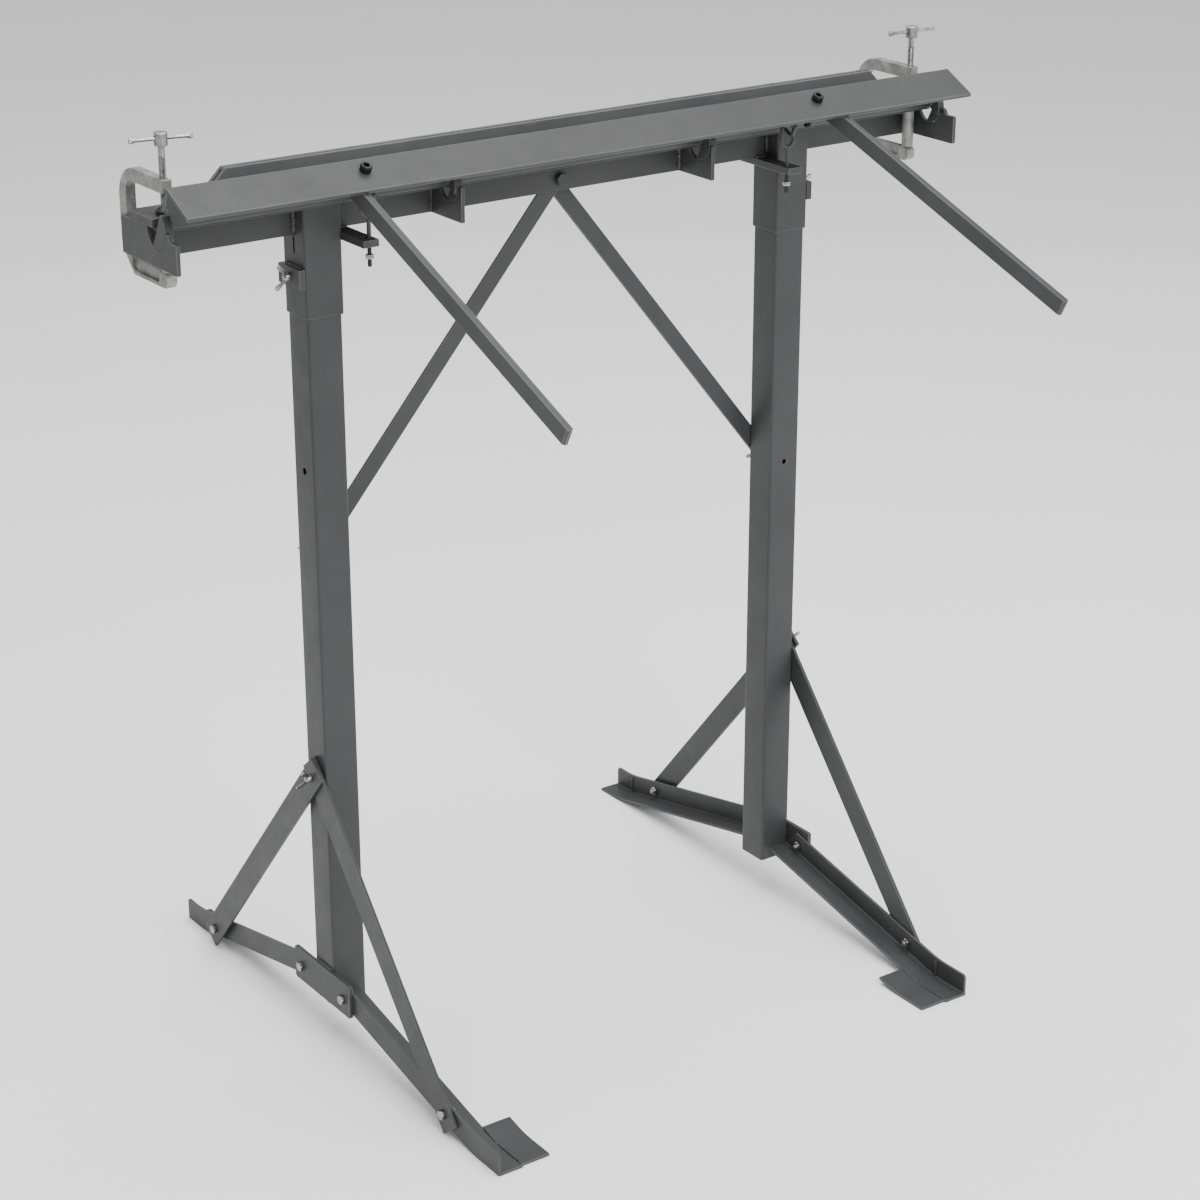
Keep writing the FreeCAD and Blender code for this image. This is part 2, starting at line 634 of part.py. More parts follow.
def handle(side, lug_way):
    """Flat bar on edge under the leaf's outer flange, with a lug for its screw."""
    under = "-leaf_face + plate"
    splay = f"handle_splay_{side}"
    reach = f"handle_reach_{side}"
    start = "grip_line - handle_start"
    bar = doc.addObject("PartDesign::Body", "Handle")
    outline = sketch_on(bar, "XZ_Plane", "-handle_deep")
    half = "handle_wide / 2"
    polygon(outline, [
        (f"-{half}", start),
        (f"{half}", start),
        (f"{half}", f"-{reach} + handle_chamfer"),
        (f"{half} - handle_chamfer", f"-{reach}"),
        (f"handle_chamfer - {half}", f"-{reach}"),
        (f"-{half}", f"-{reach} + handle_chamfer"),
    ])
    pad(bar, outline, "handle_deep")
    put(bar, (f"handle_{side}_x", under, "-grip_line"), Y_AXIS, f"-{splay}")
    end = f"screw_{side}_x + lug_past * {lug_way}"
    first, second = (f"handle_{side}_x", end) if lug_way > 0 else (end, f"handle_{side}_x")
    lug = box((first, under, "-grip_line - lug_half"), (f"{second} - ({first})", "plate", "2 * lug_half"))
    hole = along_y("big_bolt", "2 * plate", (f"screw_{side}_x", f"{under} - 1", "-grip_line"))
    on_leaf(cut(fuse(bar, lug), hole), f"handle_{side}")


def handle_fasteners():
    """Socket-head screws and nuts that hold the handles."""
    screws = []
    nuts = []
    for middle in ("screw_left_x", "screw_right_x"):
        head = along_y("socket_head", "socket_tall", (middle, "-leaf_face - socket_tall", "-grip_line"))
        shank = along_y("big_bolt", "screw_below", (middle, "-leaf_face", "-grip_line"))
        socket = hexagon("socket_hex", "socket_tall",
                         (middle, "-leaf_face - socket_tall - socket_floor", "-grip_line"), X_AXIS, "-90")
        screws.append(cut(fuse(head, shank), socket))
        nut = hexagon("big_hex", "big_head", (middle, "-leaf_face + 2 * plate", "-grip_line"), X_AXIS, "-90")
        nuts.append(cut(nut, along_y("big_bolt", "3 * big_head", (middle, "-leaf_face", "-grip_line"))))
    on_leaf(fuse(*screws), "handle_screws")
    on_leaf(fuse(*nuts), "handle_nuts")


def eye_bolt():
    """Long eye on a threaded rod that hangs in the eye bar, with its nut below the bar."""
    top = "bed_top + eye_top"
    low = "bed_top + eye_top - eye_tall"
    y = "leg_y - eye_y"
    straight = "eye_tall - 2 * eye_ring"
    pieces = [
        bend("eye_ring", "eye_rod", "180", ("eye_x", y, f"{top} - eye_ring"), X_AXIS, "90"),
        bend("eye_ring", "eye_rod", "180", ("eye_x", y, f"{low} + eye_ring"), X_AXIS, "-90"),
        rod("eye_rod", straight, ("eye_x - eye_ring", y, f"{low} + eye_ring")),
        rod("eye_rod", straight, ("eye_x + eye_ring", y, f"{low} + eye_ring")),
        rod("eye_rod", f"{low} - eye_shank_end", ("eye_x", y, "eye_shank_end")),
    ]
    pieces.append(hexagon("eye_nut", "eye_nut", ("eye_x", y, "eye_shank_end + eye_nut_high")))
    pair(fuse(*pieces), "eye_bolt")


# ---------------------------------------------------------------- clamp bar and clamps

def clamp_bar():
    """Thick base with two upright ribs and the spacers between them."""
    front = "leg_y + bar_front"
    base = box(("-bar_half", front, "bed_top"), ("2 * bar_half", "bar_back - bar_front", "bar_thick"))
    keep(base, "clamp_bar_base")
    foot = "bed_top + bar_thick"
    top = f"{foot} + rib_tall"
    for name, low in (("front", "rib_front"), ("rear", "rib_front + plate + rib_gap")):
        rib = plate("XZ_Plane", f"-leg_y - ({low}) - plate", "plate", [
            ("-rib_foot_half", foot),
            ("rib_foot_half", foot),
            ("rib_top_half", top),
            ("-rib_top_half", top),
        ])
        keep(rib, f"clamp_bar_rib_{name}")
    spacers = []
    for index in range(-3, 4):
        start = f"{index} * spacer_pitch - spacer_long / 2"
        spacers.append(box((start, "leg_y + rib_front + plate", f"{top} - rib_tall / 2"),
                           ("spacer_long", "rib_gap", "rib_tall / 2 - spacer_drop")))
    keep(fuse(*spacers), "clamp_bar_spacers")


def clamp_screws():
    """Swivel pad, screw with a drilled head, and its tommy bar, on each side."""
    y = "leg_y + clamp_y"
    seat = "bed_top + bar_thick"
    for side, middle in (("left", "-clamp_x"), ("right", "clamp_x")):
        keep(rod("pad_radius", "pad_tall", (middle, y, seat)), f"clamp_pad_{side}")
        shank_low = f"{seat} + pad_tall"
        shank = rod("clamp_screw", f"bed_top + head_low - ({shank_low}) + slip", (middle, y, shank_low))
        head = rod("clamp_head", "head_tall", (middle, y, "bed_top + head_low"))
        cross_high = "bed_top + head_low + head_tall / 2 + cross_rise"
        turn = FreeCAD.Rotation(Z_AXIS, number(f"tommy_turn_{side}"))
        lying = turn.multiply(FreeCAD.Rotation(Y_AXIS, 90))
        cross = doc.addObject("Part::Cylinder", "CrossHole")
        bind(cross, Radius="tommy_radius + slip", Height="3 * clamp_head")
        centre = Vector(number(middle), number(y), number(cross_high))
        reach = lying.multVec(Z_AXIS) * 1.5 * number("clamp_head")
        cross.Placement = FreeCAD.Placement(centre - reach, lying)
        keep(cut(fuse(shank, head), cross), f"clamp_screw_{side}")
        bar = fuse(
            rod("tommy_radius", "tommy_long", ("0", "0", "-tommy_long / 2")),
            rod("tommy_end", "tommy_flare", ("0", "0", "-tommy_long / 2")),
            rod("tommy_end", "tommy_flare", ("0", "0", "tommy_long / 2 - tommy_flare")),
        )
        bar.Placement = FreeCAD.Placement(centre, lying)
        bind(bar, Placement__Base__x=middle, Placement__Base__y=y, Placement__Base__z=cross_high)
        keep(bar, f"tommy_bar_{side}")


# ---------------------------------------------------------------- legs and feet

BRACE_HOLE = {"left": "2 * tube_wall", "right": "tube_wide"}


def leg_tube(side):
    """Square tube stopped by the web's lower edge. The brace hole goes right through the right one only."""
    body = doc.addObject("PartDesign::Body", "Tube")
    half = "tube_wide / 2"
    length = "bed_top - bed_deep - tube_foot"
    outline = sketch_on(body, "XY_Plane", "tube_foot")
    square(outline, half)
    pad(body, outline, length)
    round_edges(body, "tube_corner", lambda middle, way: abs(way.z) > 0.9)
    inside = "(tube_wide / 2 - tube_wall)"
    bore = sketch_on(body, "XY_Plane", "tube_foot")
    square(bore, inside)
    pocket(body, bore, length)
    brace_hole = sketch_on(body, "XZ_Plane", f"-leg_y - {half}")
    circle(brace_hole, "leg_x", "brace_low", "small_bolt")
    pocket(body, brace_hole, BRACE_HOLE[side])
    side_hole = sketch_on(body, "YZ_Plane", f"leg_x + {inside}")
    circle(side_hole, "leg_y", "pin_high", "pin_radius")
    pocket(body, side_hole, "tube_wall")
    stay_hole = sketch_on(body, "YZ_Plane", f"leg_x + {inside}")
    circle(stay_hole, "leg_y", "stay_top", "small_bolt")
    pocket(body, stay_hole, "tube_wall")
    if side == "right":
        keep(body, "leg_tube_right")
    else:
        mirrored(body, "leg_tube_left")


PLATE_FACE = "leg_x + tube_wide / 2"
ARM_FACE = "leg_x + tube_wide / 2 - slip"


def foot_bracket():
    """Plate across the leg's outer face that carries both foot pivots."""
    half = "foot_plate_half"
    body = plate("YZ_Plane", PLATE_FACE, "plate", [
        (f"leg_y - {half}", "foot_plate_low"),
        (f"leg_y + {half}", "foot_plate_low"),
        (f"leg_y + {half}", "foot_plate_low + foot_plate_tall"),
        (f"leg_y - {half}", "foot_plate_low + foot_plate_tall"),
    ])
    for way in ("-", "+"):
        pivot = sketch_on(body, "YZ_Plane", PLATE_FACE)
        circle(pivot, f"leg_y {way} foot_pivot_y", "foot_pivot_z", "small_bolt")
        pocket(body, pivot, "plate")
    round_edges(body, "foot_plate_round", lambda middle, way: abs(way.x) > 0.9)
    pair(body, "foot_bracket")


def foot_pivot_bolts():
    """Bolts through the bracket plate and the arms, with a nut inside."""
    bolts = []
    for way in ("-", "+"):
        y = f"leg_y {way} foot_pivot_y"
        inner = "leg_x + tube_wide / 2 - 2 * slip - arm_wall - small_head"
        head = hexagon("small_hex", "small_head", (f"{PLATE_FACE} + plate", y, "foot_pivot_z"), Y_AXIS, "90")
        shank = along_x("small_bolt", "plate + arm_wall + 2 * slip + small_head + small_proud",
                        (f"{inner} - small_proud", y, "foot_pivot_z"))
        nut = hexagon("small_hex", "small_head", (inner, y, "foot_pivot_z"), Y_AXIS, "90")
        bolts.append(fuse(head, shank, nut))
    pair(fuse(*bolts), "foot_pivot_bolts")


def foot_arm(name, way, end, shod):
    """Angle-section arm that slopes to the floor and ends level. A front arm has a shoe beside it."""
    slope = "tan(arm_slope * 1 deg)"
    lean = "cos(arm_slope * 1 deg)"

    def across(distance):
        return f"leg_y {way} ({distance})"

    rise = f"(arm_bend - arm_start) * {slope}"

    def outline(thick, trim):
        """Side view of one wall, its upper inner corner set back by the trim."""
        return [
            (across("arm_start"), rise),
            (across("arm_bend"), "0"),
            (across(end), "0"),
            (across(end), thick),
            (across(f"arm_bend + ({thick}) * (1 / {lean} - 1) / {slope}"), thick),
            (across(f"arm_start + {trim}"), f"{rise} + ({thick}) / {lean} - {trim} * {slope}"),
        ]

    upright = outline("arm_tall", "arm_trim") + [(across("arm_start"), f"{rise} + arm_wall / {lean}")]
    body = doc.addObject("PartDesign::Body", "Arm")
    pad(body, polygon(sketch_on(body, "YZ_Plane", f"{ARM_FACE} - arm_wall"), upright), "arm_wall")
    flat = sketch_on(body, "YZ_Plane", f"{ARM_FACE} - arm_wide")
    pad(body, polygon(flat, outline("arm_wall", "0")), "arm_wide")
    if shod:
        rise = f"(arm_bend - shoe_start) * {slope}"
        corner = f"arm_bend + arm_wall * (1 / {lean} - 1) / {slope}"
        shoe = sketch_on(body, "YZ_Plane", "shoe_inner")
        polygon(shoe, [
            (across("shoe_start"), rise),
            (across("arm_bend"), "0"),
            (across("shoe_end"), "0"),
            (across("shoe_end"), "arm_wall"),
            (across(corner), "arm_wall"),
            (across("shoe_start"), f"{rise} + arm_wall / {lean}"),
        ])
        pad(body, shoe, f"{ARM_FACE} - shoe_inner - arm_wall / 2")
    for y, z, radius in (("foot_pivot_y", "foot_pivot_z", "small_bolt + slip"),
                         ("stay_y", "stay_z", "small_bolt")):
        hole = sketch_on(body, "YZ_Plane", f"{ARM_FACE} - arm_wall")
        circle(hole, across(y), z, radius)
        pocket(body, hole, "arm_wall")
    round_edges(body, "arm_round", lambda middle, way: (
        abs(way.x) > 0.9 and near(middle.y, across(end)) and near(middle.z, "arm_tall")))
    pair(body, name)


STAY_SPAN = "sqrt(stay_y * stay_y + (stay_top - stay_z) * (stay_top - stay_z))"
STAY_LEAN = "atan2(stay_y; stay_top - stay_z)"


def foot_stay(name, way, start):
    """Flat brace from a foot arm up to the leg, drawn upright and then leaned over."""
    half = "stay_wide / 2"
    body = plate("YZ_Plane", start, "stay_thick", [
        (f"-{half}", "-stay_over"),
        (half, "-stay_over"),
        (half, f"{STAY_SPAN} + stay_over"),
        (f"-{half}", f"{STAY_SPAN} + stay_over"),
    ])
    for z in ("0", STAY_SPAN):
        hole = sketch_on(body, "YZ_Plane", start)
        circle(hole, "0", z, "stay_hole")
        pocket(body, hole, "stay_thick")
    turn = STAY_LEAN if way == "+" else f"-{STAY_LEAN}"
    put(body, ("0", f"leg_y {way} stay_y", "stay_z"), X_AXIS, turn)
    pair(body, name)


FRONT_STAY = "leg_x + tube_wide / 2 + slip"
BACK_STAY = "leg_x + tube_wide / 2 + 2 * slip + stay_thick"


def stay_bolt(name, way, start):
    """Bolt, washer stack and nut that join a foot brace to its arm."""
    y = f"leg_y {way} stay_y"
    inner = f"{ARM_FACE} - arm_wall - small_head"
    outer = f"{start} + stay_thick + slip"
    head = hexagon("small_hex", "small_head", (outer, y, "stay_z"), Y_AXIS, "90")
    end = f"{inner} - small_proud"
    shank = along_x("small_bolt", f"{outer} - ({end})", (end, y, "stay_z"))
    nut = hexagon("small_hex", "small_head", (inner, y, "stay_z"), Y_AXIS, "90")
    pieces = [head, shank, nut]
    if start == BACK_STAY:
        pieces.append(along_x("small_hex", f"{start} - slip - ({ARM_FACE})", (ARM_FACE, y, "stay_z")))
    pair(fuse(*pieces), name)


# ---------------------------------------------------------------- bed braces and wing screws

BRACE_SPAN = "sqrt(leg_x * leg_x + (brace_high - brace_low) * (brace_high - brace_low))"
BRACE_LEAN = "atan2(leg_x; brace_high - brace_low)"
BRACE_START = {"left": "leg_y + plate / 2 + 3 * slip", "right": "leg_y + tube_wide / 2 + slip"}
BRACE_TILT = {"left": "brace_tilt", "right": "0"}


def brace_placement(side):
    """Leans a piece drawn hanging below the pivot out to its leg, and the left one back to clear the leg."""
    sign = 1 if side == "right" else -1
    tilt = FreeCAD.Rotation(X_AXIS, number(BRACE_TILT[side]))
    lean = FreeCAD.Rotation(Y_AXIS, -sign * number(BRACE_LEAN))
    place = Vector(0, number(BRACE_START[side]), number("brace_high"))
    return FreeCAD.Placement(place, lean.multiply(tilt))


def bed_brace(side):
    """Flat bar from the middle of the bed to a leg."""
    half = "brace_wide / 2"
    body = plate("XZ_Plane", "-brace_thick", "brace_thick", [
        (f"-{half}", "brace_over"),
        (f"-{half}", f"-{BRACE_SPAN} - brace_over"),
        (half, f"-{BRACE_SPAN} - brace_over"),
        (half, "brace_over"),
    ])
    for z, radius in (("0", "big_bolt + 2 * slip"), (f"-{BRACE_SPAN}", "small_bolt")):
        hole = sketch_on(body, "XZ_Plane", "-brace_thick")
        circle(hole, "0", z, radius)
        pocket(body, hole, "brace_thick")
    body.Placement = brace_placement(side)
    keep(body, f"bed_brace_{side}")


def wing_screw(shank):
    """Thumb screw along +Z: its shank ends at the origin, its wings are on top."""
    hub = doc.addObject("Part::Cone", "Hub")
    bind(hub, Radius1="wing_hub", Radius2="wing_hub_top", Height="wing_hub_tall")
    put(hub, ("0", "0", shank))
    wings = box(("-wing_span / 2", "-wing_thick / 2", f"{shank} + wing_hub_tall / 3"),
                ("wing_span", "wing_thick", "wing_tall"))
    gap = rod("wing_hub_top", "wing_tall", ("0", "0", f"{shank} + wing_hub_tall"))
    return fuse(cut(wings, gap), hub, rod("small_bolt - slip / 3", shank, ("0", "0", "0")))


def sideways(turn):
    """Lays a wing screw along +X with its wings turned from upright."""
    lying = FreeCAD.Rotation(Y_AXIS, 90)
    return FreeCAD.Placement(Vector(), lying.multiply(FreeCAD.Rotation(Z_AXIS, number(turn))))


def wing_screws():
    """Wing screws of the sleeves, of the foot braces and of the bed braces."""
    boss_face = "leg_x + sleeve_wide / 2 + boss_thick"
    sleeve = wing_screw(f"{boss_face} - (leg_x + tube_wide / 2) - slip")
    sleeve.Placement = sideways("sleeve_wing_turn")
    bind(sleeve, Placement__Base__x="leg_x + tube_wide / 2 + slip", Placement__Base__y="leg_y",
         Placement__Base__z="boss_low + boss_tall / 2")
    pair(sleeve, "sleeve_wing_screw")
    foot = wing_screw("stay_thick")
    foot.Placement = sideways("foot_wing_turn")
    bind(foot, Placement__Base__x=BACK_STAY, Placement__Base__y="leg_y", Placement__Base__z="stay_top")
    pair(foot, "foot_wing_screw")
    for side in ("left", "right"):
        screw = wing_screw("brace_thick")
        drawn = FreeCAD.Placement(Vector(0, 0, -number(BRACE_SPAN)), FreeCAD.Rotation(X_AXIS, -90))
        screw.Placement = brace_placement(side).multiply(drawn)
        keep(screw, f"brace_wing_screw_{side}")


# ---------------------------------------------------------------- build and export

bed_tee()
end_plate()
hinge_support()
leg_sleeve()
eye_bar()
brace_bolt()
clamp_frame()
leaf_angle()
half_moons()
leaf_staples()
handle("left", 1)
handle("right", -1)
handle_fasteners()
eye_bolt()
clamp_bar()
clamp_screws()
for side in ("left", "right"):
    leg_tube(side)
foot_bracket()
foot_pivot_bolts()
foot_arm("foot_arm_front", "-", "arm_front_end", True)
foot_arm("foot_arm_rear", "+", "arm_back_end", False)
foot_stay("foot_brace_front", "-", FRONT_STAY)
foot_stay("foot_brace_rear", "+", BACK_STAY)
stay_bolt("brace_bolt_front", "-", FRONT_STAY)
stay_bolt("brace_bolt_rear", "+", BACK_STAY)
bed_brace("left")
bed_brace("right")
wing_screws()

doc.recompute()
for thing in doc.Objects:
    if "Invalid" in thing.State or "Error" in thing.State:
        raise RuntimeError(f"{thing.Name} ({thing.Label}) is {thing.State}")
os.makedirs("parts", exist_ok=True)
whole = FreeCAD.BoundBox()
for thing in subparts:
    if thing.Shape.isNull() or not thing.Shape.isValid():
        raise RuntimeError(f"{thing.Label} has no valid shape")
    thing.Shape.exportStep(f"parts/{thing.Label}.step")
    whole.add(thing.Shape.BoundBox)
print(f"{len(subparts)} sub-parts, {whole}")
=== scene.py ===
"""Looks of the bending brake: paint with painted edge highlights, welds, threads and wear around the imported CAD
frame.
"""
import itertools
import json
import math
import bmesh
import bpy
from mathutils import Matrix, Vector, noise


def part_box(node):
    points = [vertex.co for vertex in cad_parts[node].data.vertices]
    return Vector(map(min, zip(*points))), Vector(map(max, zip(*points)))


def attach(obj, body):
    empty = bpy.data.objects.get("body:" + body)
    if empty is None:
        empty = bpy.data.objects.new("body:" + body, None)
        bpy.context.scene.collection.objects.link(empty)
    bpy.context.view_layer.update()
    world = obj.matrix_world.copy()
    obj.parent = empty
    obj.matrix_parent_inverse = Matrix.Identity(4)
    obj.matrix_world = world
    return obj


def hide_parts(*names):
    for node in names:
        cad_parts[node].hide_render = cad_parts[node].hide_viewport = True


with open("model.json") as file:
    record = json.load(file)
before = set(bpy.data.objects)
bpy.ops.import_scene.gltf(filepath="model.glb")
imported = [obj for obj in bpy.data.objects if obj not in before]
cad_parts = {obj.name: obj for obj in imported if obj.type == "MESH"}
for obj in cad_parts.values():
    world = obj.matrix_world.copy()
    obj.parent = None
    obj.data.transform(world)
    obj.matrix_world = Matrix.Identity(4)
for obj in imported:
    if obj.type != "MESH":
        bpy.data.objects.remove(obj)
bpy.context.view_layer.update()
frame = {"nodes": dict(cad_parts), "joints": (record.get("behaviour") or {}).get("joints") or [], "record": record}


MM = 0.001
TURN = 2 * math.pi
X_AXIS = Vector((1, 0, 0))
Y_AXIS = Vector((0, 1, 0))
Z_AXIS = Vector((0, 0, 1))
SIDES = (("left", -1), ("right", 1))
JOINTS = {joint["name"]: joint for joint in frame["joints"]}
NODE_SLOT = {entry["node"]: entry["material_slot"] for entry in frame["record"]["subparts"]}
LEAF_HINGE = JOINTS["leaf_hinge"]
# The leaf's own frame: origin on the hinge line, its bending face level, outer edge towards -Y.
LEAF_PLACE = (Matrix.Translation(Vector(LEAF_HINGE["pos_m"]))
              @ Matrix.Rotation(math.radians(LEAF_HINGE["range_deg"][0]), 4, "X"))

# Material slots of the record.
DARK = "dark_grey_paint"
ZINC = "bright_zinc"
CAST = "clamp_casting"
BLACK = "black_oxide"

# Screws: shank radius, pitch, and the hexagon's height and distance from middle to corner.
M8_RADIUS = 4 * MM
M8_PITCH = 1.25 * MM
M8_HEX_CORNER = 7.5 * MM
M8_HEX_HEIGHT = 5.5 * MM
M10_RADIUS = 5 * MM
M10_PITCH = 1.5 * MM
M10_HEX_CORNER = 9.8 * MM
M10_HEX_HEIGHT = 8 * MM

FOOT_BOLT_OFFSET = 60.5 * MM          # from a leg's middle to each of its two foot pivot bolts
FOLD_REACH = 400 * MM                 # from a leg's middle to the fold of a foot arm
ARM_SLOPE = 0.21                      # rise of a foot arm between its fold and the leg
EYE_X = 355 * MM                      # an eye bolt from the middle of the bed
EYE_STRAIGHT = 13.5 * MM              # straight sides of an eye, between its two half rounds
ROD_RADIUS = 3.0 * MM                 # eye bolts
BOSS_HALF = 13 * MM                   # half the height of the boss on a leg sleeve
HANDLE_SCREW_X = (-376 * MM, 382 * MM)
HANDLE_SCREW_Z = -24.7 * MM           # in the leaf's own frame
HANDLE_SCREW_SEAT = -68 * MM          # Y under the screws' heads, in the leaf's own frame
HANDLE_NUT_SEAT = -56 * MM            # Y of the nuts' bearing faces, in the leaf's own frame
SOCKET_RADIUS = 8 * MM
WINGS_TALL = 20 * MM                  # a wing screw above its shank
CLAMP_HEAD_TALL = 18 * MM             # the drilled head of a clamp screw
TOMMY_RADIUS = 2.75 * MM
STAPLE_LEGS = (-10 * MM, -32 * MM)    # Y where a staple's legs meet the leaf, in the leaf's own frame

# Width of the broken edges of each plate, single ones and those with a left and a right.
PLATES = {"bed_tee": 1.2 * MM, "leaf_angle": 1.5 * MM, "clamp_bar_base": 1.0 * MM,
          "clamp_bar_rib_front": 1.0 * MM, "clamp_bar_rib_rear": 1.0 * MM, "clamp_bar_spacers": 0.8 * MM,
          "handle_left": 1.0 * MM, "handle_right": 1.0 * MM}
PAIRED_PLATES = {"end_plate": 1.1 * MM, "hinge_support": 0.9 * MM, "leg_sleeve": 0.8 * MM, "eye_bar": 0.8 * MM,
                 "leg_tube": 0.8 * MM, "foot_bracket": 0.8 * MM, "foot_brace_front": 0.7 * MM,
                 "foot_brace_rear": 0.7 * MM, "bed_brace": 0.7 * MM}


# ---------------------------------------------------------------- materials

class Shader:
    """A Principled material built from procedural nodes."""

    def __init__(self, name, **sockets):
        self.material = bpy.data.materials.new(name)
        self.material.use_nodes = True
        self.tree = self.material.node_tree
        self.surface = self.tree.nodes["Principled BSDF"]
        for socket, value in sockets.items():
            self.surface.inputs[socket.replace("_", " ")].default_value = value
        self.place = self.add("ShaderNodeTexCoord").outputs["Object"]

    def add(self, kind, **inputs):
        node = self.tree.nodes.new(kind)
        for socket, value in inputs.items():
            node.inputs[socket.replace("_", " ")].default_value = value
        return node

    def link(self, source, target):
        self.tree.links.new(source, target)

    def noise(self, scale, detail=4.0, roughness=0.6, stretch=None):
        """Noise over the object's own coordinates, squeezed along each axis by stretch."""
        node = self.add("ShaderNodeTexNoise", Scale=scale, Detail=detail, Roughness=roughness)
        place = self.place
        if stretch is not None:
            mapping = self.add("ShaderNodeMapping", Scale=stretch)
            self.link(place, mapping.inputs["Vector"])
            place = mapping.outputs["Vector"]
        self.link(place, node.inputs["Vector"])
        return node.outputs["Fac"]

    def ramp(self, source, *stops):
        """Turns a factor into colours or greys. Each stop is a position and a value."""
        node = self.add("ShaderNodeValToRGB")
        band = node.color_ramp
        while len(band.elements) < len(stops):
            band.elements.new(0.5)
        for element, (position, value) in zip(band.elements, stops):
            element.position = position
            element.color = (*value, 1.0) if isinstance(value, tuple) else (value, value, value, 1.0)
        self.link(source, node.inputs["Fac"])
        return node.outputs["Color"]

    def mix(self, factor, first, second):
        """Blends two colours, each a tuple or another node's output."""
        node = self.tree.nodes.new("ShaderNodeMix")
        node.data_type = "RGBA"
        self.link(factor, node.inputs["Factor"])
        for socket, value in ((node.inputs[6], first), (node.inputs[7], second)):
            if isinstance(value, tuple):
                socket.default_value = (*value, 1.0)
            else:
                self.link(value, socket)
        return node.outputs[2]

    def bump(self, height, strength, distance=0.0005, under=None):
        node = self.add("ShaderNodeBump", Strength=strength, Distance=distance)
        self.link(height, node.inputs["Height"])
        if under is not None:
            self.link(under, node.inputs["Normal"])
        return node.outputs["Normal"]

    def finish(self, color, rough, normal):
        self.link(color, self.surface.inputs["Base Color"])
        self.link(rough, self.surface.inputs["Roughness"])
        self.link(normal, self.surface.inputs["Normal"])
        return self.material


def painted_steel(name="painted_steel", dark=(0.032, 0.0323, 0.0335), light=(0.042, 0.0424, 0.0435)):
    """Satin dark grey paint over rolled steel: faint clouding, fine orange peel, dust and rare scuffs."""
    shader = Shader(name, Metallic=0.0, Specular_IOR_Level=0.28)
    clouds = shader.ramp(shader.noise(7.0), (0.3, dark), (0.7, light))
    specks = shader.ramp(shader.noise(420.0, 2.0), (0.70, 0.0), (0.78, 1.0))
    base = shader.mix(specks, clouds, (0.085, 0.085, 0.085))
    scuffs = shader.ramp(shader.noise(38.0, 9.0, 0.75, (0.2, 1.0, 1.0)), (0.69, 0.0), (0.74, 0.8))
    color = shader.mix(scuffs, base, (0.12, 0.12, 0.122))
    rough = shader.ramp(shader.noise(30.0, 5.0), (0.25, 0.38), (0.75, 0.52))
    rolled = shader.bump(shader.noise(18.0, 3.0), 0.25, 0.0008)
    return shader.finish(color, rough, shader.bump(shader.noise(650.0, 2.0), 0.16, 0.0002, rolled))


def painted_edge_highlight():
    """The same paint, lighter, for the broken edges: a painted highlight along each edge."""
    return painted_steel("painted_edge_highlight", (0.060, 0.060, 0.062), (0.105, 0.105, 0.107))


def lighter_bar_paint():
    """Paint for the clamp bar's ribs. It isn't a real second colour: this scene's lights leave them too dark."""
    return painted_steel("bar_paint", (0.070, 0.0705, 0.072), (0.092, 0.0925, 0.094))


def weld_metal():
    """Painted weld beads, a little glossier than the plates, with sooty hollows."""
    shader = Shader("weld_metal", Metallic=0.0, Specular_IOR_Level=0.5)
    color = shader.ramp(shader.noise(260.0, 6.0), (0.35, (0.018, 0.018, 0.019)), (0.7, (0.046, 0.046, 0.048)))
    rough = shader.ramp(shader.noise(150.0), (0.3, 0.30), (0.7, 0.45))
    return shader.finish(color, rough, shader.bump(shader.noise(500.0, 4.0), 0.4, 0.0004))


def zinc_plate():
    """Bright zinc: metallic, slightly mottled, with a fine grain."""
    shader = Shader("zinc_plate", Metallic=1.0)
    color = shader.ramp(shader.noise(160.0, 6.0), (0.3, (0.17, 0.17, 0.17)), (0.7, (0.44, 0.44, 0.435)))
    rough = shader.ramp(shader.noise(240.0, 5.0), (0.25, 0.22), (0.75, 0.42))
    return shader.finish(color, rough, shader.bump(shader.noise(900.0, 3.0), 0.2, 0.0002))


def clamp_casting():
    """Pale tumbled casting: soft metallic grey with a grainy skin and darker pits."""
    shader = Shader("clamp_casting", Metallic=0.55)
    skin_color = shader.ramp(shader.noise(45.0, 8.0, 0.7), (0.33, (0.14, 0.14, 0.138)), (0.67, (0.31, 0.31, 0.305)))
    pits = shader.ramp(shader.noise(380.0, 3.0), (0.62, 0.0), (0.70, 0.75))
    color = shader.mix(pits, skin_color, (0.11, 0.11, 0.11))
    rough = shader.ramp(shader.noise(200.0, 5.0), (0.25, 0.38), (0.75, 0.56))
    coarse = shader.bump(shader.noise(60.0, 4.0), 0.3, 0.0006)
    return shader.finish(color, rough, shader.bump(shader.noise(700.0, 4.0), 0.4, 0.0003, coarse))


def black_oxide():
    """Blackened screw steel, oily and slightly worn."""
    shader = Shader("black_oxide", Metallic=0.5)
    color = shader.ramp(shader.noise(220.0, 6.0), (0.35, (0.012, 0.012, 0.013)), (0.75, (0.035, 0.035, 0.037)))
    rough = shader.ramp(shader.noise(150.0, 4.0), (0.25, 0.30), (0.75, 0.5))
    return shader.finish(color, rough, shader.bump(shader.noise(800.0, 3.0), 0.15, 0.0002))


def pale_floor():
    """The studio floor, nearly white."""
    shader = Shader("pale_floor", Metallic=0.0)
    color = shader.ramp(shader.noise(2.0), (0.3, 0.94), (0.7, 0.96))
    rough = shader.ramp(shader.noise(5.0), (0.3, 0.85), (0.7, 0.9))
    return shader.finish(color, rough, shader.bump(shader.noise(80.0), 0.02))


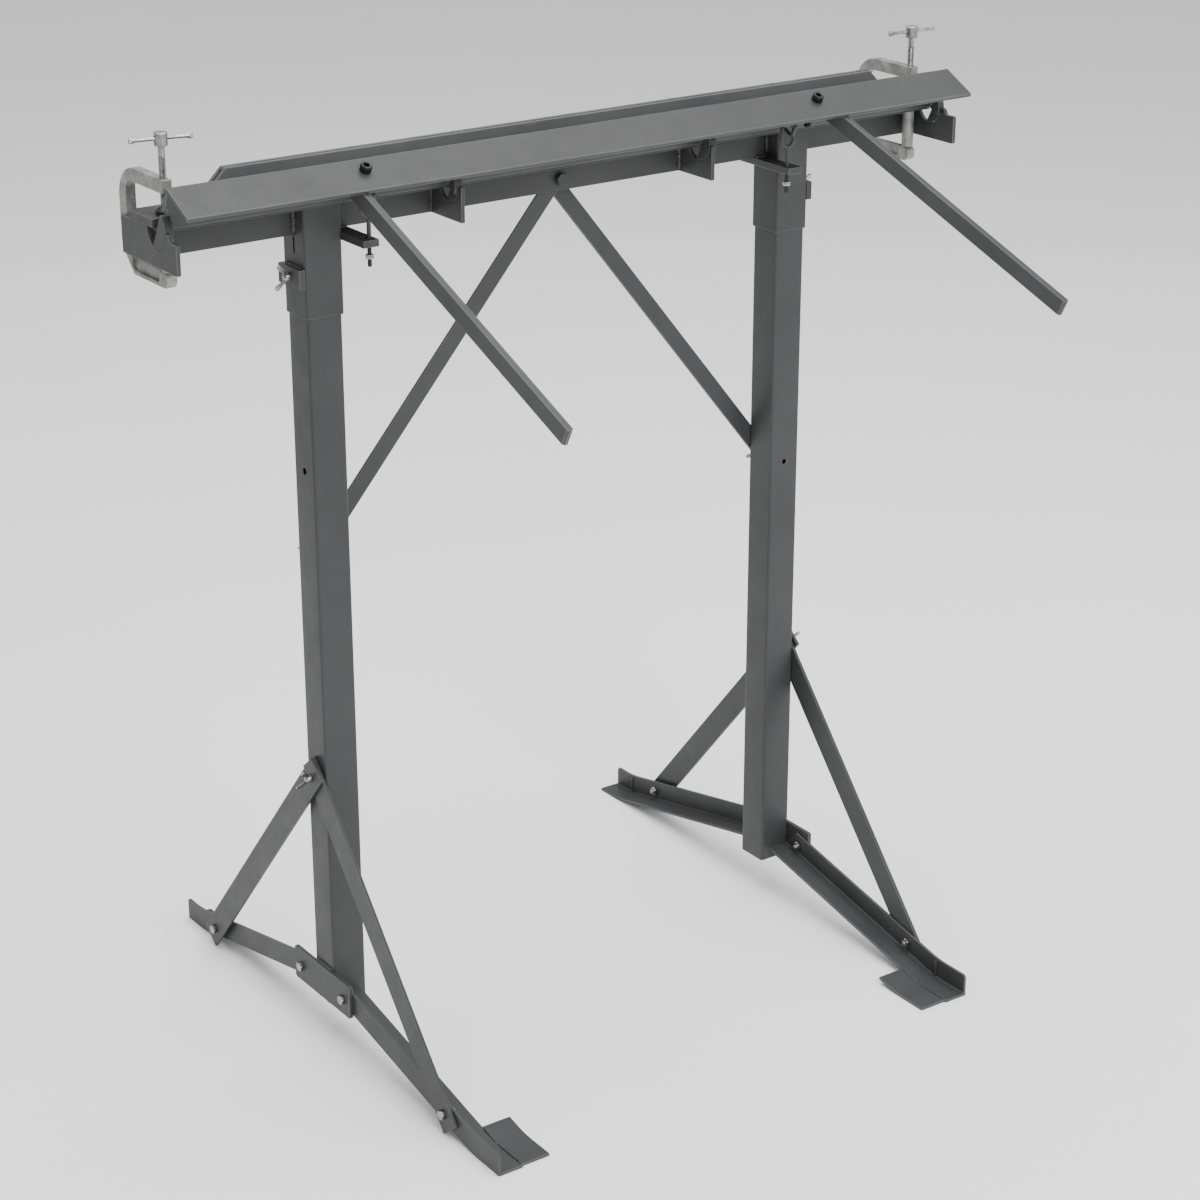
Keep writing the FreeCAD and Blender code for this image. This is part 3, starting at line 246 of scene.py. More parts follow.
MATERIALS = {DARK: painted_steel(), ZINC: zinc_plate(), CAST: clamp_casting(), BLACK: black_oxide()}
# Lighter paint for the broken edges: painted edge highlights.
EDGE_HIGHLIGHT_PAINT = painted_edge_highlight()
BAR_PAINT = lighter_bar_paint()
WELDED = weld_metal()


# ---------------------------------------------------------------- places and pieces

def middle_of(node):
    """The middle of a node's box."""
    low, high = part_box(node)
    return (low + high) / 2


def inner_outer(node, sign):
    """X of a node's two ends: the one towards the middle of the stand, then the one away from it."""
    low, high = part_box(node)
    return (low.x, high.x) if sign > 0 else (high.x, low.x)


def frame_along(origin, axis, across=None):
    """A matrix whose Z runs along an axis, and whose X lies near another direction."""
    up = Vector(axis).normalized()
    side = Vector(across) if across is not None else up.orthogonal()
    side = (side - up * side.dot(up)).normalized()
    matrix = Matrix((side, up.cross(side), up)).transposed().to_4x4()
    return Matrix.Translation(Vector(origin)) @ matrix


def body_of(node):
    """The body that a CAD node belongs to."""
    return next(body for body, nodes in frame["record"]["behaviour"]["bodies"].items() if node in nodes)


def new_piece(name, mesh, slot):
    """A mesh as an object of its own, with the material of a slot."""
    piece = bpy.data.objects.new(name, mesh)
    bpy.context.scene.collection.objects.link(piece)
    mesh.materials.clear()
    mesh.materials.append(MATERIALS[slot])
    return piece


def smooth(bm, angle):
    """Smooth shading, kept crisp where two faces meet at more than this angle."""
    for face in bm.faces:
        face.smooth = True
    for edge in bm.edges:
        if len(edge.link_faces) == 2:
            edge.smooth = edge.calc_face_angle(0) < math.radians(angle)


def mesh_from(bm, name, angle=32):
    """Turns a bmesh into a mesh with its faces outward, and frees it."""
    bmesh.ops.recalc_face_normals(bm, faces=bm.faces)
    smooth(bm, angle)
    mesh = bpy.data.meshes.new(name)
    bm.to_mesh(mesh)
    bm.free()
    return mesh


def standing_for(bm, node, slot=None, angle=32):
    """A finished piece that takes the place of one CAD node on its body."""
    piece = new_piece(f"{node}_finish", mesh_from(bm, node, angle), slot or NODE_SLOT[node])
    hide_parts(node)
    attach(piece, body_of(node))
    return piece


def cad_mesh(node, flatten=True):
    """The CAD mesh of a node as one skin, with its flat faces joined again if flatten is set."""
    bm = bmesh.new()
    bm.from_mesh(frame["nodes"][node].data)
    bmesh.ops.remove_doubles(bm, verts=bm.verts, dist=1e-6)
    if flatten:
        bmesh.ops.dissolve_limit(bm, angle_limit=math.radians(1), verts=bm.verts, edges=bm.edges)
    return bm


def break_edges(piece, width, segments=2, worn=True):
    """Rounds the edges, and gives painted ones a lighter line: a painted edge highlight."""
    bevel = piece.modifiers.new("edges", "BEVEL")
    bevel.width = width
    bevel.segments = segments
    bevel.limit_method = "ANGLE"
    bevel.angle_limit = math.radians(35)
    bevel.use_clamp_overlap = False
    bevel.harden_normals = True
    # worn: painted parts get the lighter paint on their rounded edges, which is a painted highlight.
    if worn and piece.data.materials[0] == MATERIALS[DARK]:
        piece.data.materials.append(EDGE_HIGHLIGHT_PAINT)
        bevel.material = 1


def trim(node, width):
    """The CAD shape with its edges broken as on real cut and ground steel. The bed's get no painted edge highlight.
    """
    plate = standing_for(cad_mesh(node), node)
    break_edges(plate, width, worn=node != "bed_tee")
    return plate


def cut_away(piece, bm):
    """Subtracts a closed shape from a piece, and leaves no modifier behind."""
    cutter = bpy.data.objects.new("cutter", mesh_from(bm, "cutter"))
    bpy.context.scene.collection.objects.link(cutter)
    modifier = piece.modifiers.new("cut", "BOOLEAN")
    modifier.operation = "DIFFERENCE"
    modifier.solver = "EXACT"
    modifier.object = cutter
    bpy.context.view_layer.update()
    graph = bpy.context.evaluated_depsgraph_get()
    result = bpy.data.meshes.new_from_object(piece.evaluated_get(graph))
    piece.modifiers.clear()
    piece.data = result
    bpy.data.objects.remove(cutter)


# ---------------------------------------------------------------- turned and bent shapes

def skin(bm, loops):
    """Joins a row of closed loops of vertices, and closes both ends."""
    count = len(loops[0])
    for low, high in zip(loops, loops[1:]):
        for index in range(count):
            after = (index + 1) % count
            bm.faces.new((low[index], low[after], high[after], high[index]))
    bm.faces.new(reversed(loops[0]))
    bm.faces.new(loops[-1])


def rings(bm, matrix, profile, count):
    """A solid along Z. The profile gives, for each ring, a height and a radius or a radius by angle."""
    loops = []
    for height, radius in profile:
        loop = []
        for index in range(count):
            angle = TURN * index / count
            reach = radius(angle) if callable(radius) else radius
            loop.append(bm.verts.new(matrix @ Vector((reach * math.cos(angle), reach * math.sin(angle), height))))
        loops.append(loop)
    skin(bm, loops)


def rod(bm, matrix, radius, low, high, edge=0.4 * MM, count=32):
    """A round rod along Z with chamfered ends."""
    rings(bm, matrix, [(low, radius - edge), (low + edge, radius), (high - edge, radius), (high, radius - edge)],
          count)


def outline_solid(bm, matrix, points, low, high, edge):
    """Extrudes a closed outline along Z, with small broken edges."""
    centre = Vector((sum(x for x, _ in points), sum(y for _, y in points))) / len(points)
    loops = []
    for height, inset in ((low, edge), (low + edge, 0.0), (high - edge, 0.0), (high, edge)):
        loop = []
        for point in points:
            flat = Vector(point)
            inward = (centre - flat).normalized() * inset
            loop.append(bm.verts.new(matrix @ Vector((*(flat + inward), height))))
        loops.append(loop)
    skin(bm, loops)


def tube(bm, points, reach_at, count):
    """A rod along a route of points, with its radius at each point given by reach_at."""
    loops = []
    side = None
    for index, point in enumerate(points):
        before = points[max(index - 1, 0)]
        after = points[min(index + 1, len(points) - 1)]
        way = (after - before).normalized()
        side = way.orthogonal().normalized() if side is None else (side - way * side.dot(way)).normalized()
        other = way.cross(side)
        reach = reach_at(index)
        loops.append([bm.verts.new(point + (side * math.cos(TURN * k / count)
                                            + other * math.sin(TURN * k / count)) * reach)
                      for k in range(count)])
    skin(bm, loops)


def hexagonal(flat):
    """Radius by angle of a hexagon with this distance from the middle to a flat."""
    def radius(angle):
        return flat / math.cos((angle + math.pi / 6) % (math.pi / 3) - math.pi / 6)
    return radius


def oval(wide, thin):
    """Radius by angle of a flattened round, from half its width and half its thickness."""
    return lambda angle: math.hypot(wide * math.cos(angle), thin * math.sin(angle))


def between(circle, shape, share):
    """Radius by angle that goes from a circle to another shape."""
    return lambda angle: circle + (shape(angle) - circle) * share


def hex_head(bm, matrix, corner, height, washer=True, both=False):
    """A hexagon from its bearing face up to its chamfered crown.

    washer stands it on a thin round washer face, and both chamfers the bearing face too.
    """
    flat = corner * math.cos(math.pi / 6)
    shape = hexagonal(flat)
    circle = flat * 1.01
    profile = [(0.0, circle * 0.97), (0.08 * height, circle * 0.97)] if washer else [(0.0, circle)]
    low = 0.10 * height if washer else 0.0
    profile += [(low, between(circle, shape, 0.6 if washer or both else 1.0)),
                (low + 0.09 * height, shape),
                (0.86 * height, shape),
                (0.94 * height, between(circle, shape, 0.55)),
                (height, circle * 0.985)]
    rings(bm, matrix, profile, 48)


def thread(bm, matrix, radius, low, high, pitch, count=24):
    """A rod with a rolled thread. The groove is as deep as a standard one."""
    depth = 0.61 * pitch
    steps = max(4, round((high - low) / pitch * 5))
    profile = [(low, radius - depth)]
    for step in range(steps + 1):
        height = low + (high - low) * step / steps
        fade = min(1.0, (height - low) / pitch, (high - height) / pitch)

        def reach(angle, height=height, fade=fade):
            share = (height / pitch - angle / TURN) % 1.0
            ridge = min(1.0, max(0.0, 2.6 * (0.5 - abs(share - 0.5))))
            return radius - depth + depth * ridge * max(0.0, fade)
        profile.append((height, reach))
    profile.append((high, radius - depth))
    rings(bm, matrix, profile, count)


# ---------------------------------------------------------------- plates and castings

def folded_arm(node):
    """A foot arm with its fold turned into a real curve."""
    bm = cad_mesh(node)
    folds = [edge for edge in bm.edges if len(edge.link_faces) == 2
             and abs(edge.verts[0].co.y - edge.verts[1].co.y) < 0.1 * MM
             and math.radians(11) < edge.calc_face_angle(0) < math.radians(13)]
    bmesh.ops.bevel(bm, geom=folds, offset=16 * MM, offset_type="OFFSET", segments=6, profile=0.5,
                    affect="EDGES", clamp_overlap=True)
    break_edges(standing_for(bm, node), 0.8 * MM)


def plates():
    """Every part cut from plate, bar, tube or angle, and the two bent-rod staples as they are."""
    for node, width in PLATES.items():
        plate = trim(node, width)
        if node.startswith("clamp_bar_rib"):
            plate.data.materials[0] = BAR_PAINT
    for name, width in PAIRED_PLATES.items():
        for side, _ in SIDES:
            trim(f"{name}_{side}", width)
    for side, _ in SIDES:
        for end in ("front", "rear"):
            folded_arm(f"foot_arm_{end}_{side}")
        for name in ("end", "inner"):
            trim(f"half_moon_{side}_{name}", 0.7 * MM)
    standing_for(cad_mesh("leaf_staples", flatten=False), "leaf_staples")


def recess_outline(low, high):
    """A pocket outline open at the top, its two lower corners rounded."""
    radius = 6 * MM
    points = [(high[0], high[1]), (low[0], high[1])]
    for centre, first in ((low[0] + radius, math.pi), (high[0] - radius, 1.5 * math.pi)):
        for step in range(7):
            angle = first + math.pi / 2 * step / 6
            points.append((centre + radius * math.cos(angle), low[1] + radius + radius * math.sin(angle)))
    return points


def clamp_frames():
    """Cast C-frames: a pocket in each side of the lower jaw, and well-rounded edges."""
    for side, _ in SIDES:
        node = f"clamp_frame_{side}"
        low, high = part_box(node)
        middle = (low.x + high.x) / 2
        piece = standing_for(cad_mesh(node), node)
        outline = recess_outline((low.y + 22 * MM, low.z + 6 * MM), (high.y - 27 * MM, low.z + 30 * MM))
        for way in (-1, 1):
            bm = bmesh.new()
            place = Matrix(((0, 0, way, middle), (1, 0, 0, 0), (0, 1, 0, 0), (0, 0, 0, 1)))
            outline_solid(bm, place, outline, 3.4 * MM, 12 * MM, 0.01 * MM)
            cut_away(piece, bm)
        break_edges(piece, 1.1 * MM, 3)


# ---------------------------------------------------------------- fasteners

def foot_bolts(node, centres):
    """M8 hexagon bolts along X at the given points of one node, heads outside and nuts inside."""
    sign = 1 if middle_of(node).x > 0 else -1
    inner, outer = inner_outer(node, sign)
    way = X_AXIS * sign
    grip = abs(outer - inner) - M8_HEX_HEIGHT
    bm = bmesh.new()
    for centre in centres:
        head_seat = frame_along((outer - sign * M8_HEX_HEIGHT, centre.y, centre.z), way, (0, 1, 0.3))
        hex_head(bm, head_seat, M8_HEX_CORNER, M8_HEX_HEIGHT)
        inside = frame_along((inner, centre.y, centre.z), way, (0, 1, 0.9))
        thread(bm, inside, M8_RADIUS, 0.0, min(grip, 14 * MM), M8_PITCH)
        rod(bm, inside, M8_RADIUS - 0.1 * MM, 10 * MM, grip, 0.1 * MM)
        nut_seat = frame_along((inner + sign * 4 * MM, centre.y, centre.z), way, (0, 1, 1.4))
        hex_head(bm, nut_seat, M8_HEX_CORNER, M8_HEX_HEIGHT, washer=False, both=True)
    return bm


def side_bolts():
    """Foot pivot bolts and brace bolts. The rear brace bolts carry a spacer outside the arm."""
    for side, sign in SIDES:
        node = f"foot_pivot_bolts_{side}"
        centre = middle_of(node)
        offset = Vector((0, FOOT_BOLT_OFFSET, 0))
        standing_for(foot_bolts(node, [centre + offset, centre - offset]), node)
        for end in ("front", "rear"):
            node = f"brace_bolt_{end}_{side}"
            centre = middle_of(node)
            bm = foot_bolts(node, [centre])
            if end == "rear":
                arm_face = inner_outer(f"foot_arm_rear_{side}", sign)[1]
                spacer = frame_along((arm_face, centre.y, centre.z), (sign, 0, 0))
                rings(bm, spacer, [(0, 6.8 * MM), (0.4 * MM, 7.4 * MM), (5.2 * MM, 7.4 * MM), (5.7 * MM, 6.8 * MM)],
                      40)
            standing_for(bm, node)


def web_bolt():
    """The M10 bolt through the bed's web that both bed braces swing on, with its bush and nut."""
    low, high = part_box("brace_bolt")
    height = middle_of("brace_bolt").z
    seat = low.y + M10_HEX_HEIGHT
    shank = frame_along((0, seat, height), Y_AXIS)
    bush = frame_along((0, seat + 12.5 * MM, height), Y_AXIS)
    nut_seat = frame_along((0, high.y - 11 * MM, height), Y_AXIS, (1, 0, 0.1))
    bm = bmesh.new()
    hex_head(bm, frame_along((0, seat, height), -Y_AXIS, (1, 0, 0.35)), M10_HEX_CORNER, M10_HEX_HEIGHT)
    thread(bm, shank, M10_RADIUS, 30 * MM, high.y - seat, M10_PITCH)
    rod(bm, shank, M10_RADIUS - 0.1 * MM, 0, 32 * MM)
    rod(bm, bush, 7.4 * MM, 0, 17.2 * MM)
    hex_head(bm, nut_seat, M10_HEX_CORNER, M10_HEX_HEIGHT, washer=False)
    standing_for(bm, "brace_bolt")


def knurl(angle):
    """Radius by angle of a socket screw's knurled head."""
    return SOCKET_RADIUS - 0.28 * MM * abs(math.sin(angle * 24))


def handle_hardware():
    """Knurled socket-head screws and their nuts, square to the leaf's outer flange."""
    outward = LEAF_PLACE.to_3x3() @ -Y_AXIS
    head = [(0, SOCKET_RADIUS - 0.5 * MM), (0.5 * MM, knurl), (8.4 * MM, knurl), (9.2 * MM, SOCKET_RADIUS - 0.4 * MM),
            (10 * MM, SOCKET_RADIUS - 1.3 * MM), (10 * MM, 5.4 * MM), (9.4 * MM, hexagonal(4.1 * MM)),
            (3.5 * MM, hexagonal(4.0 * MM)), (2.6 * MM, 0.3 * MM)]
    screws = bmesh.new()
    nuts = bmesh.new()
    for x in HANDLE_SCREW_X:
        seat = LEAF_PLACE @ Vector((x, HANDLE_SCREW_SEAT, HANDLE_SCREW_Z))
        rings(screws, frame_along(seat, outward, X_AXIS), head, 96)
        thread(screws, frame_along(seat, -outward), M10_RADIUS, 8 * MM, 47 * MM, M10_PITCH)
        nut_seat = LEAF_PLACE @ Vector((x, HANDLE_NUT_SEAT, HANDLE_SCREW_Z))
        hex_head(nuts, frame_along(nut_seat, -outward, X_AXIS + Z_AXIS * 0.2), M10_HEX_CORNER, M10_HEX_HEIGHT,
                 washer=False)
    standing_for(screws, "handle_screws", BLACK, 40)
    standing_for(nuts, "handle_nuts", BLACK)


def wing_outline():
    """One ear of a wing screw, from the hub outward and up to its rounded tip."""
    points = [(2.5, 1.5), (6.2, 2.6), (9.8, 6.0)]
    for step in range(9):
        angle = math.radians(-45 + 180 * step / 8)
        points.append((15.6 + 3.8 * math.cos(angle), 15.8 + 3.8 * math.sin(angle)))
    return [(x * MM, y * MM) for x, y in points + [(8.4, 11.6), (5.2, 8.6), (2.5, 8.0)]]


def wing_place(node, origin, axis):
    """Where a wing screw's shank starts, with X along its wings, and the shank's length."""
    points = [vertex.co - origin for vertex in frame["nodes"][node].data.vertices]
    heights = [point.dot(axis) for point in points]
    spread = [point - axis * height for point, height in zip(points, heights)]
    reach = max(flat.length for flat in spread)
    tips = [flat for flat in spread if flat.length > reach - 0.05 * MM]
    across = sum((tip for tip in tips if tip.dot(tips[0]) > 0), Vector())
    start = origin + axis * min(heights)
    return frame_along(start, axis, across), max(heights) - min(heights) - WINGS_TALL


def wing_screws():
    """Zinc wing screws: turned hub, two flat ears with rounded tips, and a threaded shank."""
    hub = [(0, 5.2), (0.5, 5.9), (3, 5.8), (6, 5.2), (8, 4.1), (9, 2.4), (9.2, 0.6)]
    for side, _ in SIDES:
        for kind in ("sleeve", "foot", "brace"):
            node = f"{kind}_wing_screw_{side}"
            joint = JOINTS[f"{node}_turn"]
            place, shank = wing_place(node, Vector(joint["pos_m"]), Vector(joint["axis"]))
            bm = bmesh.new()
            thread(bm, place, M8_RADIUS - 0.1 * MM, 0, shank, M8_PITCH)
            rings(bm, place, [(shank + height * MM, radius * MM) for height, radius in hub], 40)
            for flip in (0, math.pi):
                ear = place @ Matrix.Translation((0, 0, shank)) @ Matrix.Rotation(flip, 4, "Z")
                ear = ear @ Matrix.Rotation(math.pi / 2, 4, "X")
                outline_solid(bm, ear, wing_outline(), -1.25 * MM, 1.25 * MM, 0.5 * MM)
            standing_for(bm, node, ZINC, 40)


def clamp_pad(side, upright):
    """A swivel pad with a chamfered rim and a coned back."""
    node = f"clamp_pad_{side}"
    low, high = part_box(node)
    bm = bmesh.new()
    rings(bm, upright, [(low.z, 11.3 * MM), (low.z + 0.6 * MM, 12 * MM), (low.z + 5.2 * MM, 12 * MM),
                        (low.z + 6.6 * MM, 10.6 * MM), (high.z - 0.6 * MM, 7.6 * MM), (high.z, 6.8 * MM)], 48)
    standing_for(bm, node)


def clamp_screw(side, upright):
    """A turned head and, as a piece of its own, the threaded shaft under it. Gives back the head."""
    node = f"clamp_screw_{side}"
    low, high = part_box(node)
    head_low = high.z - CLAMP_HEAD_TALL
    bm = bmesh.new()
    rings(bm, upright, [(head_low, 7.9 * MM), (head_low + 0.9 * MM, 8.9 * MM), (high.z - 1.0 * MM, 8.9 * MM),
                        (high.z, 7.6 * MM)], 48)
    head = standing_for(bm, node, ZINC)
    bm = bmesh.new()
    thread(bm, upright, 4.85 * MM, low.z, head_low - 12 * MM, 1.5 * MM, 32)
    rod(bm, upright, 4.4 * MM, head_low - 13 * MM, head_low + 0.5 * MM)
    shaft = new_piece(f"clamp_shaft_{side}", mesh_from(bm, "clamp_shaft"), ZINC)
    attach(shaft, body_of(node))
    return head


def tommy_bar(side, centre, axis):
    """A sliding bar whose ends are hammered flat, so that they can't slip out of the head."""
    area = TOMMY_RADIUS ** 2
    profile = [(32 * MM, 2.7 * MM)]
    for step in range(6):
        share = step / 5
        wide = (2.75 + 1.4 * math.sin(share * math.pi * 0.55)) * MM
        profile.append(((33 + 8.4 * share) * MM, oval(wide, area / wide)))
    profile.append((42 * MM, oval(3.4 * MM, area / (3.4 * MM))))
    bm = bmesh.new()
    rod(bm, frame_along(centre, axis, Z_AXIS), TOMMY_RADIUS, -38 * MM, 38 * MM, 0.3 * MM, 24)
    for end in (-1, 1):
        rings(bm, frame_along(centre, axis * end, Z_AXIS), profile, 24)
    standing_for(bm, f"tommy_bar_{side}", ZINC)


def clamp_hardware():
    """Pads, clamp screws and tommy bars. Each screw's head is bored for its bar."""
    for side, _ in SIDES:
        pad = middle_of(f"clamp_pad_{side}")
        upright = frame_along((pad.x, pad.y, 0), Z_AXIS)
        clamp_pad(side, upright)
        head = clamp_screw(side, upright)
        centre = middle_of(f"tommy_bar_{side}")
        axis = Vector(JOINTS[f"tommy_bar_{side}_slide"]["axis"])
        tommy_bar(side, centre, axis)
        bore = bmesh.new()
        rings(bore, frame_along(centre, axis), [(-12 * MM, 3.2 * MM), (12 * MM, 3.2 * MM)], 32)
        cut_away(head, bore)


def eye_bolts():
    """Painted bent eyes on threaded rods, each with a bright washer-faced nut under its bar."""
    for side, sign in SIDES:
        node = f"eye_bolt_{side}"
        low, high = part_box(node)
        x = sign * EYE_X
        y = (low.y + high.y) / 2
        bend = (high.x - low.x) / 2 - ROD_RADIUS
        top = high.z - ROD_RADIUS - bend
        bottom = top - EYE_STRAIGHT
        route = []
        for step in range(33):
            angle = math.radians(-96 + 372 * step / 32)
            centre_z = top if math.sin(angle) > 0 else bottom
            route.append(Vector((x + bend * math.cos(angle), y, centre_z + bend * math.sin(angle))))
        place = frame_along((x, y, 0), Z_AXIS)
        bm = bmesh.new()
        tube(bm, route, lambda index: ROD_RADIUS, 16)
        rod(bm, place, ROD_RADIUS, low.z + 34 * MM, bottom - bend)
        thread(bm, place, ROD_RADIUS, low.z, low.z + 35 * MM, 1.0 * MM)
        standing_for(bm, node)
        bm = bmesh.new()
        hex_head(bm, frame_along((x, y, low.z + 11 * MM), Z_AXIS), 6 * MM, 6 * MM)
        nut = new_piece(f"eye_nut_{side}", mesh_from(bm, "eye_nut"), ZINC)
        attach(nut, body_of(node))


# ---------------------------------------------------------------- welds

WELD_NUMBERS = itertools.count(1)


def weld(body, start, end, size, place=None):
    """A hand-laid bead with overlapping ripples, from one point to another."""
    place = place or Matrix.Identity(4)
    a = place @ Vector(start)
    b = place @ Vector(end)
    length = (b - a).length
    steps = max(6, round(length / (0.7 * MM)))
    ripple = 2.4 * MM
    points = []
    reaches = []
    for step in range(steps + 1):
        share = step / steps
        along = share * length
        point = a.lerp(b, share)
        wander = noise.noise(point * 160) * 0.4
        phase = (along / ripple + 0.3 * noise.noise(point * 60)) % 1.0
        scallop = 0.82 + 0.18 * math.sqrt(max(0.0, 1 - (2 * phase - 1) ** 2))
        taper = min(1.0, 0.45 + along / (2.5 * size), 0.45 + (length - along) / (2.5 * size))
        points.append(point)
        reaches.append(size * scallop * taper * (1 + wander))
    bm = bmesh.new()
    tube(bm, points, lambda index: reaches[index], 12)
    piece = new_piece(f"weld_{next(WELD_NUMBERS):02d}", mesh_from(bm, "weld", 60), DARK)
    piece.data.materials[0] = WELDED
    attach(piece, body)


def weld_row(body, start, end, count, share, size):
    """Evenly spaced stitches that fill a share of a line."""
    a = Vector(start)
    b = Vector(end)
    for index in range(count):
        middle = (index + 0.5) / count
        half = share / count / 2
        weld(body, a.lerp(b, middle - half), a.lerp(b, middle + half), size)


def bed_welds():
    """Beads round everything that is welded to the bed: supports, end plates, sleeves and eye bars."""
    tee_low, tee_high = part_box("bed_tee")

    def upright(x, y, above, below, size):
        weld("bed", (x, y, tee_low.z + above), (x, y, tee_high.z - below), size)

    def crosswise(x, first_y, last_y, z, size):
        weld("bed", (x, first_y, z), (x, last_y, z), size)

    def lengthwise(first_x, last_x, y, z, size):
        weld("bed", (first_x, y, z), (last_x, y, z), size)

    for side, sign in SIDES:
        support_low, support_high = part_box(f"hinge_support_{side}")
        inner = inner_outer(f"hinge_support_{side}", sign)[0]
        web = support_high.y
        moon = middle_of(f"half_moon_{side}_inner").x
        for x, other in ((support_low.x, support_high.x), (support_high.x, support_low.x)):
            beside_moon = abs(x - moon) < abs(other - moon)
            upright(x, web - 0.6 * MM, 3 * MM, 9 * MM, 2.2 * MM if beside_moon else 4.2 * MM)
        crosswise(inner, web - 6 * MM, web - 17 * MM, tee_high.z - 7 * MM, 2.4 * MM)

        seam = inner_outer(f"end_plate_{side}", sign)[0] - sign * MM
        for y in (web - 0.5 * MM, web + 6.5 * MM):
            upright(seam, y, 3 * MM, 8 * MM, 2.8 * MM)
        crosswise(seam, web + 10 * MM, tee_high.y - 4 * MM, tee_high.z - 6.8 * MM, 2.6 * MM)

        sleeve_low, sleeve_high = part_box(f"leg_sleeve_{side}")
        inner = inner_outer(f"leg_sleeve_{side}", sign)[0]
        outer = inner + sign * (sleeve_high.y - sleeve_low.y)
        for y in (sleeve_low.y - 0.5 * MM, sleeve_high.y + 0.5 * MM):
            weld_row("bed", (min(inner, outer) + 4 * MM, y, tee_high.z - 6.6 * MM),
                     (max(inner, outer) - 4 * MM, y, tee_high.z - 6.6 * MM), 2, 0.7, 2.6 * MM)
        for x, out in ((inner, -sign), (outer, sign)):
            for y in (web - 0.6 * MM, web + 6.6 * MM):
                upright(x + out * 0.6 * MM, y, 4 * MM, 10 * MM, 4.8 * MM)
        boss = JOINTS[f"sleeve_wing_screw_{side}_turn"]["pos_m"][2]
        for z in (boss - BOSS_HALF, boss + BOSS_HALF):
            crosswise(outer + sign * 0.6 * MM, sleeve_low.y + 5 * MM, sleeve_high.y - 5 * MM, z, 2.0 * MM)

        bar_low, bar_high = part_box(f"eye_bar_{side}")
        crosswise(inner, sleeve_low.y + 4 * MM, sleeve_high.y - 6 * MM, bar_high.z, 2.4 * MM)
        lengthwise(bar_low.x + 2 * MM, bar_high.x - 2 * MM, web - 0.8 * MM, bar_high.z + 0.6 * MM, 2.6 * MM)


def leg_welds():
    """Beads along the foot brackets, across the folds of the foot arms, and along the front shoes."""
    leg_y = middle_of("leg_tube_left").y
    for side, sign in SIDES:
        low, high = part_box(f"foot_bracket_{side}")
        tube_low, tube_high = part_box(f"leg_tube_{side}")
        x = inner_outer(f"foot_bracket_{side}", sign)[0] + sign * 0.5 * MM
        for z in (max(low.z - 0.3 * MM, tube_low.z + 2 * MM), high.z + 0.3 * MM):
            weld(f"leg_{side}", (x, tube_low.y + 4 * MM, z), (x, tube_high.y - 4 * MM, z), 3.8 * MM)
        for end, way in (("front", -1), ("rear", 1)):
            x = inner_outer(f"foot_arm_{end}_{side}", sign)[1] - sign * 4.3 * MM
            fold = leg_y + way * FOLD_REACH
            weld(f"foot_{end}_{side}", (x, fold, 5 * MM), (x, fold, 33 * MM), 2.4 * MM)
        x = inner_outer(f"foot_arm_front_{side}", sign)[1] - sign * 40 * MM
        seam = [(x, leg_y - reach, 4 * MM + max(0, FOLD_REACH - reach) * ARM_SLOPE)
                for reach in (365 * MM, FOLD_REACH, 459 * MM)]
        for start, end in zip(seam, seam[1:]):
            weld(f"foot_front_{side}", start, end, 2.1 * MM)


def leaf_welds():
    """Beads under the leaf's bending face, at the half-moons and at the legs of the staples."""
    for side, sign in SIDES:
        for x in (inner_outer(f"half_moon_{side}_end", sign)[0], inner_outer(f"half_moon_{side}_inner", sign)[1]):
            weld("leaf", (x, -5 * MM, -6.5 * MM), (x, -24 * MM, -6.5 * MM), 2.4 * MM, LEAF_PLACE)
    for x in (-EYE_X, EYE_X):
        for y in STAPLE_LEGS:
            weld("leaf", (x - 3 * MM, y, -6.8 * MM), (x + 3 * MM, y, -6.8 * MM), 2.8 * MM, LEAF_PLACE)


def bar_welds():
    """Stitches outside the clamp bar's ribs, and a bead on each spacer."""
    for node, way in (("clamp_bar_rib_front", -1), ("clamp_bar_rib_rear", 1)):
        low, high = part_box(node)
        y = (low.y if way < 0 else high.y) + way * 0.8 * MM
        weld_row("clamp_bar", (low.x + 20 * MM, y, low.z + 0.8 * MM), (high.x - 20 * MM, y, low.z + 0.8 * MM),
                 7, 0.26, 3.0 * MM)
    low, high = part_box("clamp_bar_spacers")
    middle = (low.y + high.y) / 2
    z = high.z + 0.2 * MM
    last_spacer = high.x - 15 * MM
    for index in range(-3, 4):
        centre = last_spacer * index / 3
        weld("clamp_bar", (centre - 14 * MM, middle, z), (centre + 14 * MM, middle, z), 2.9 * MM)


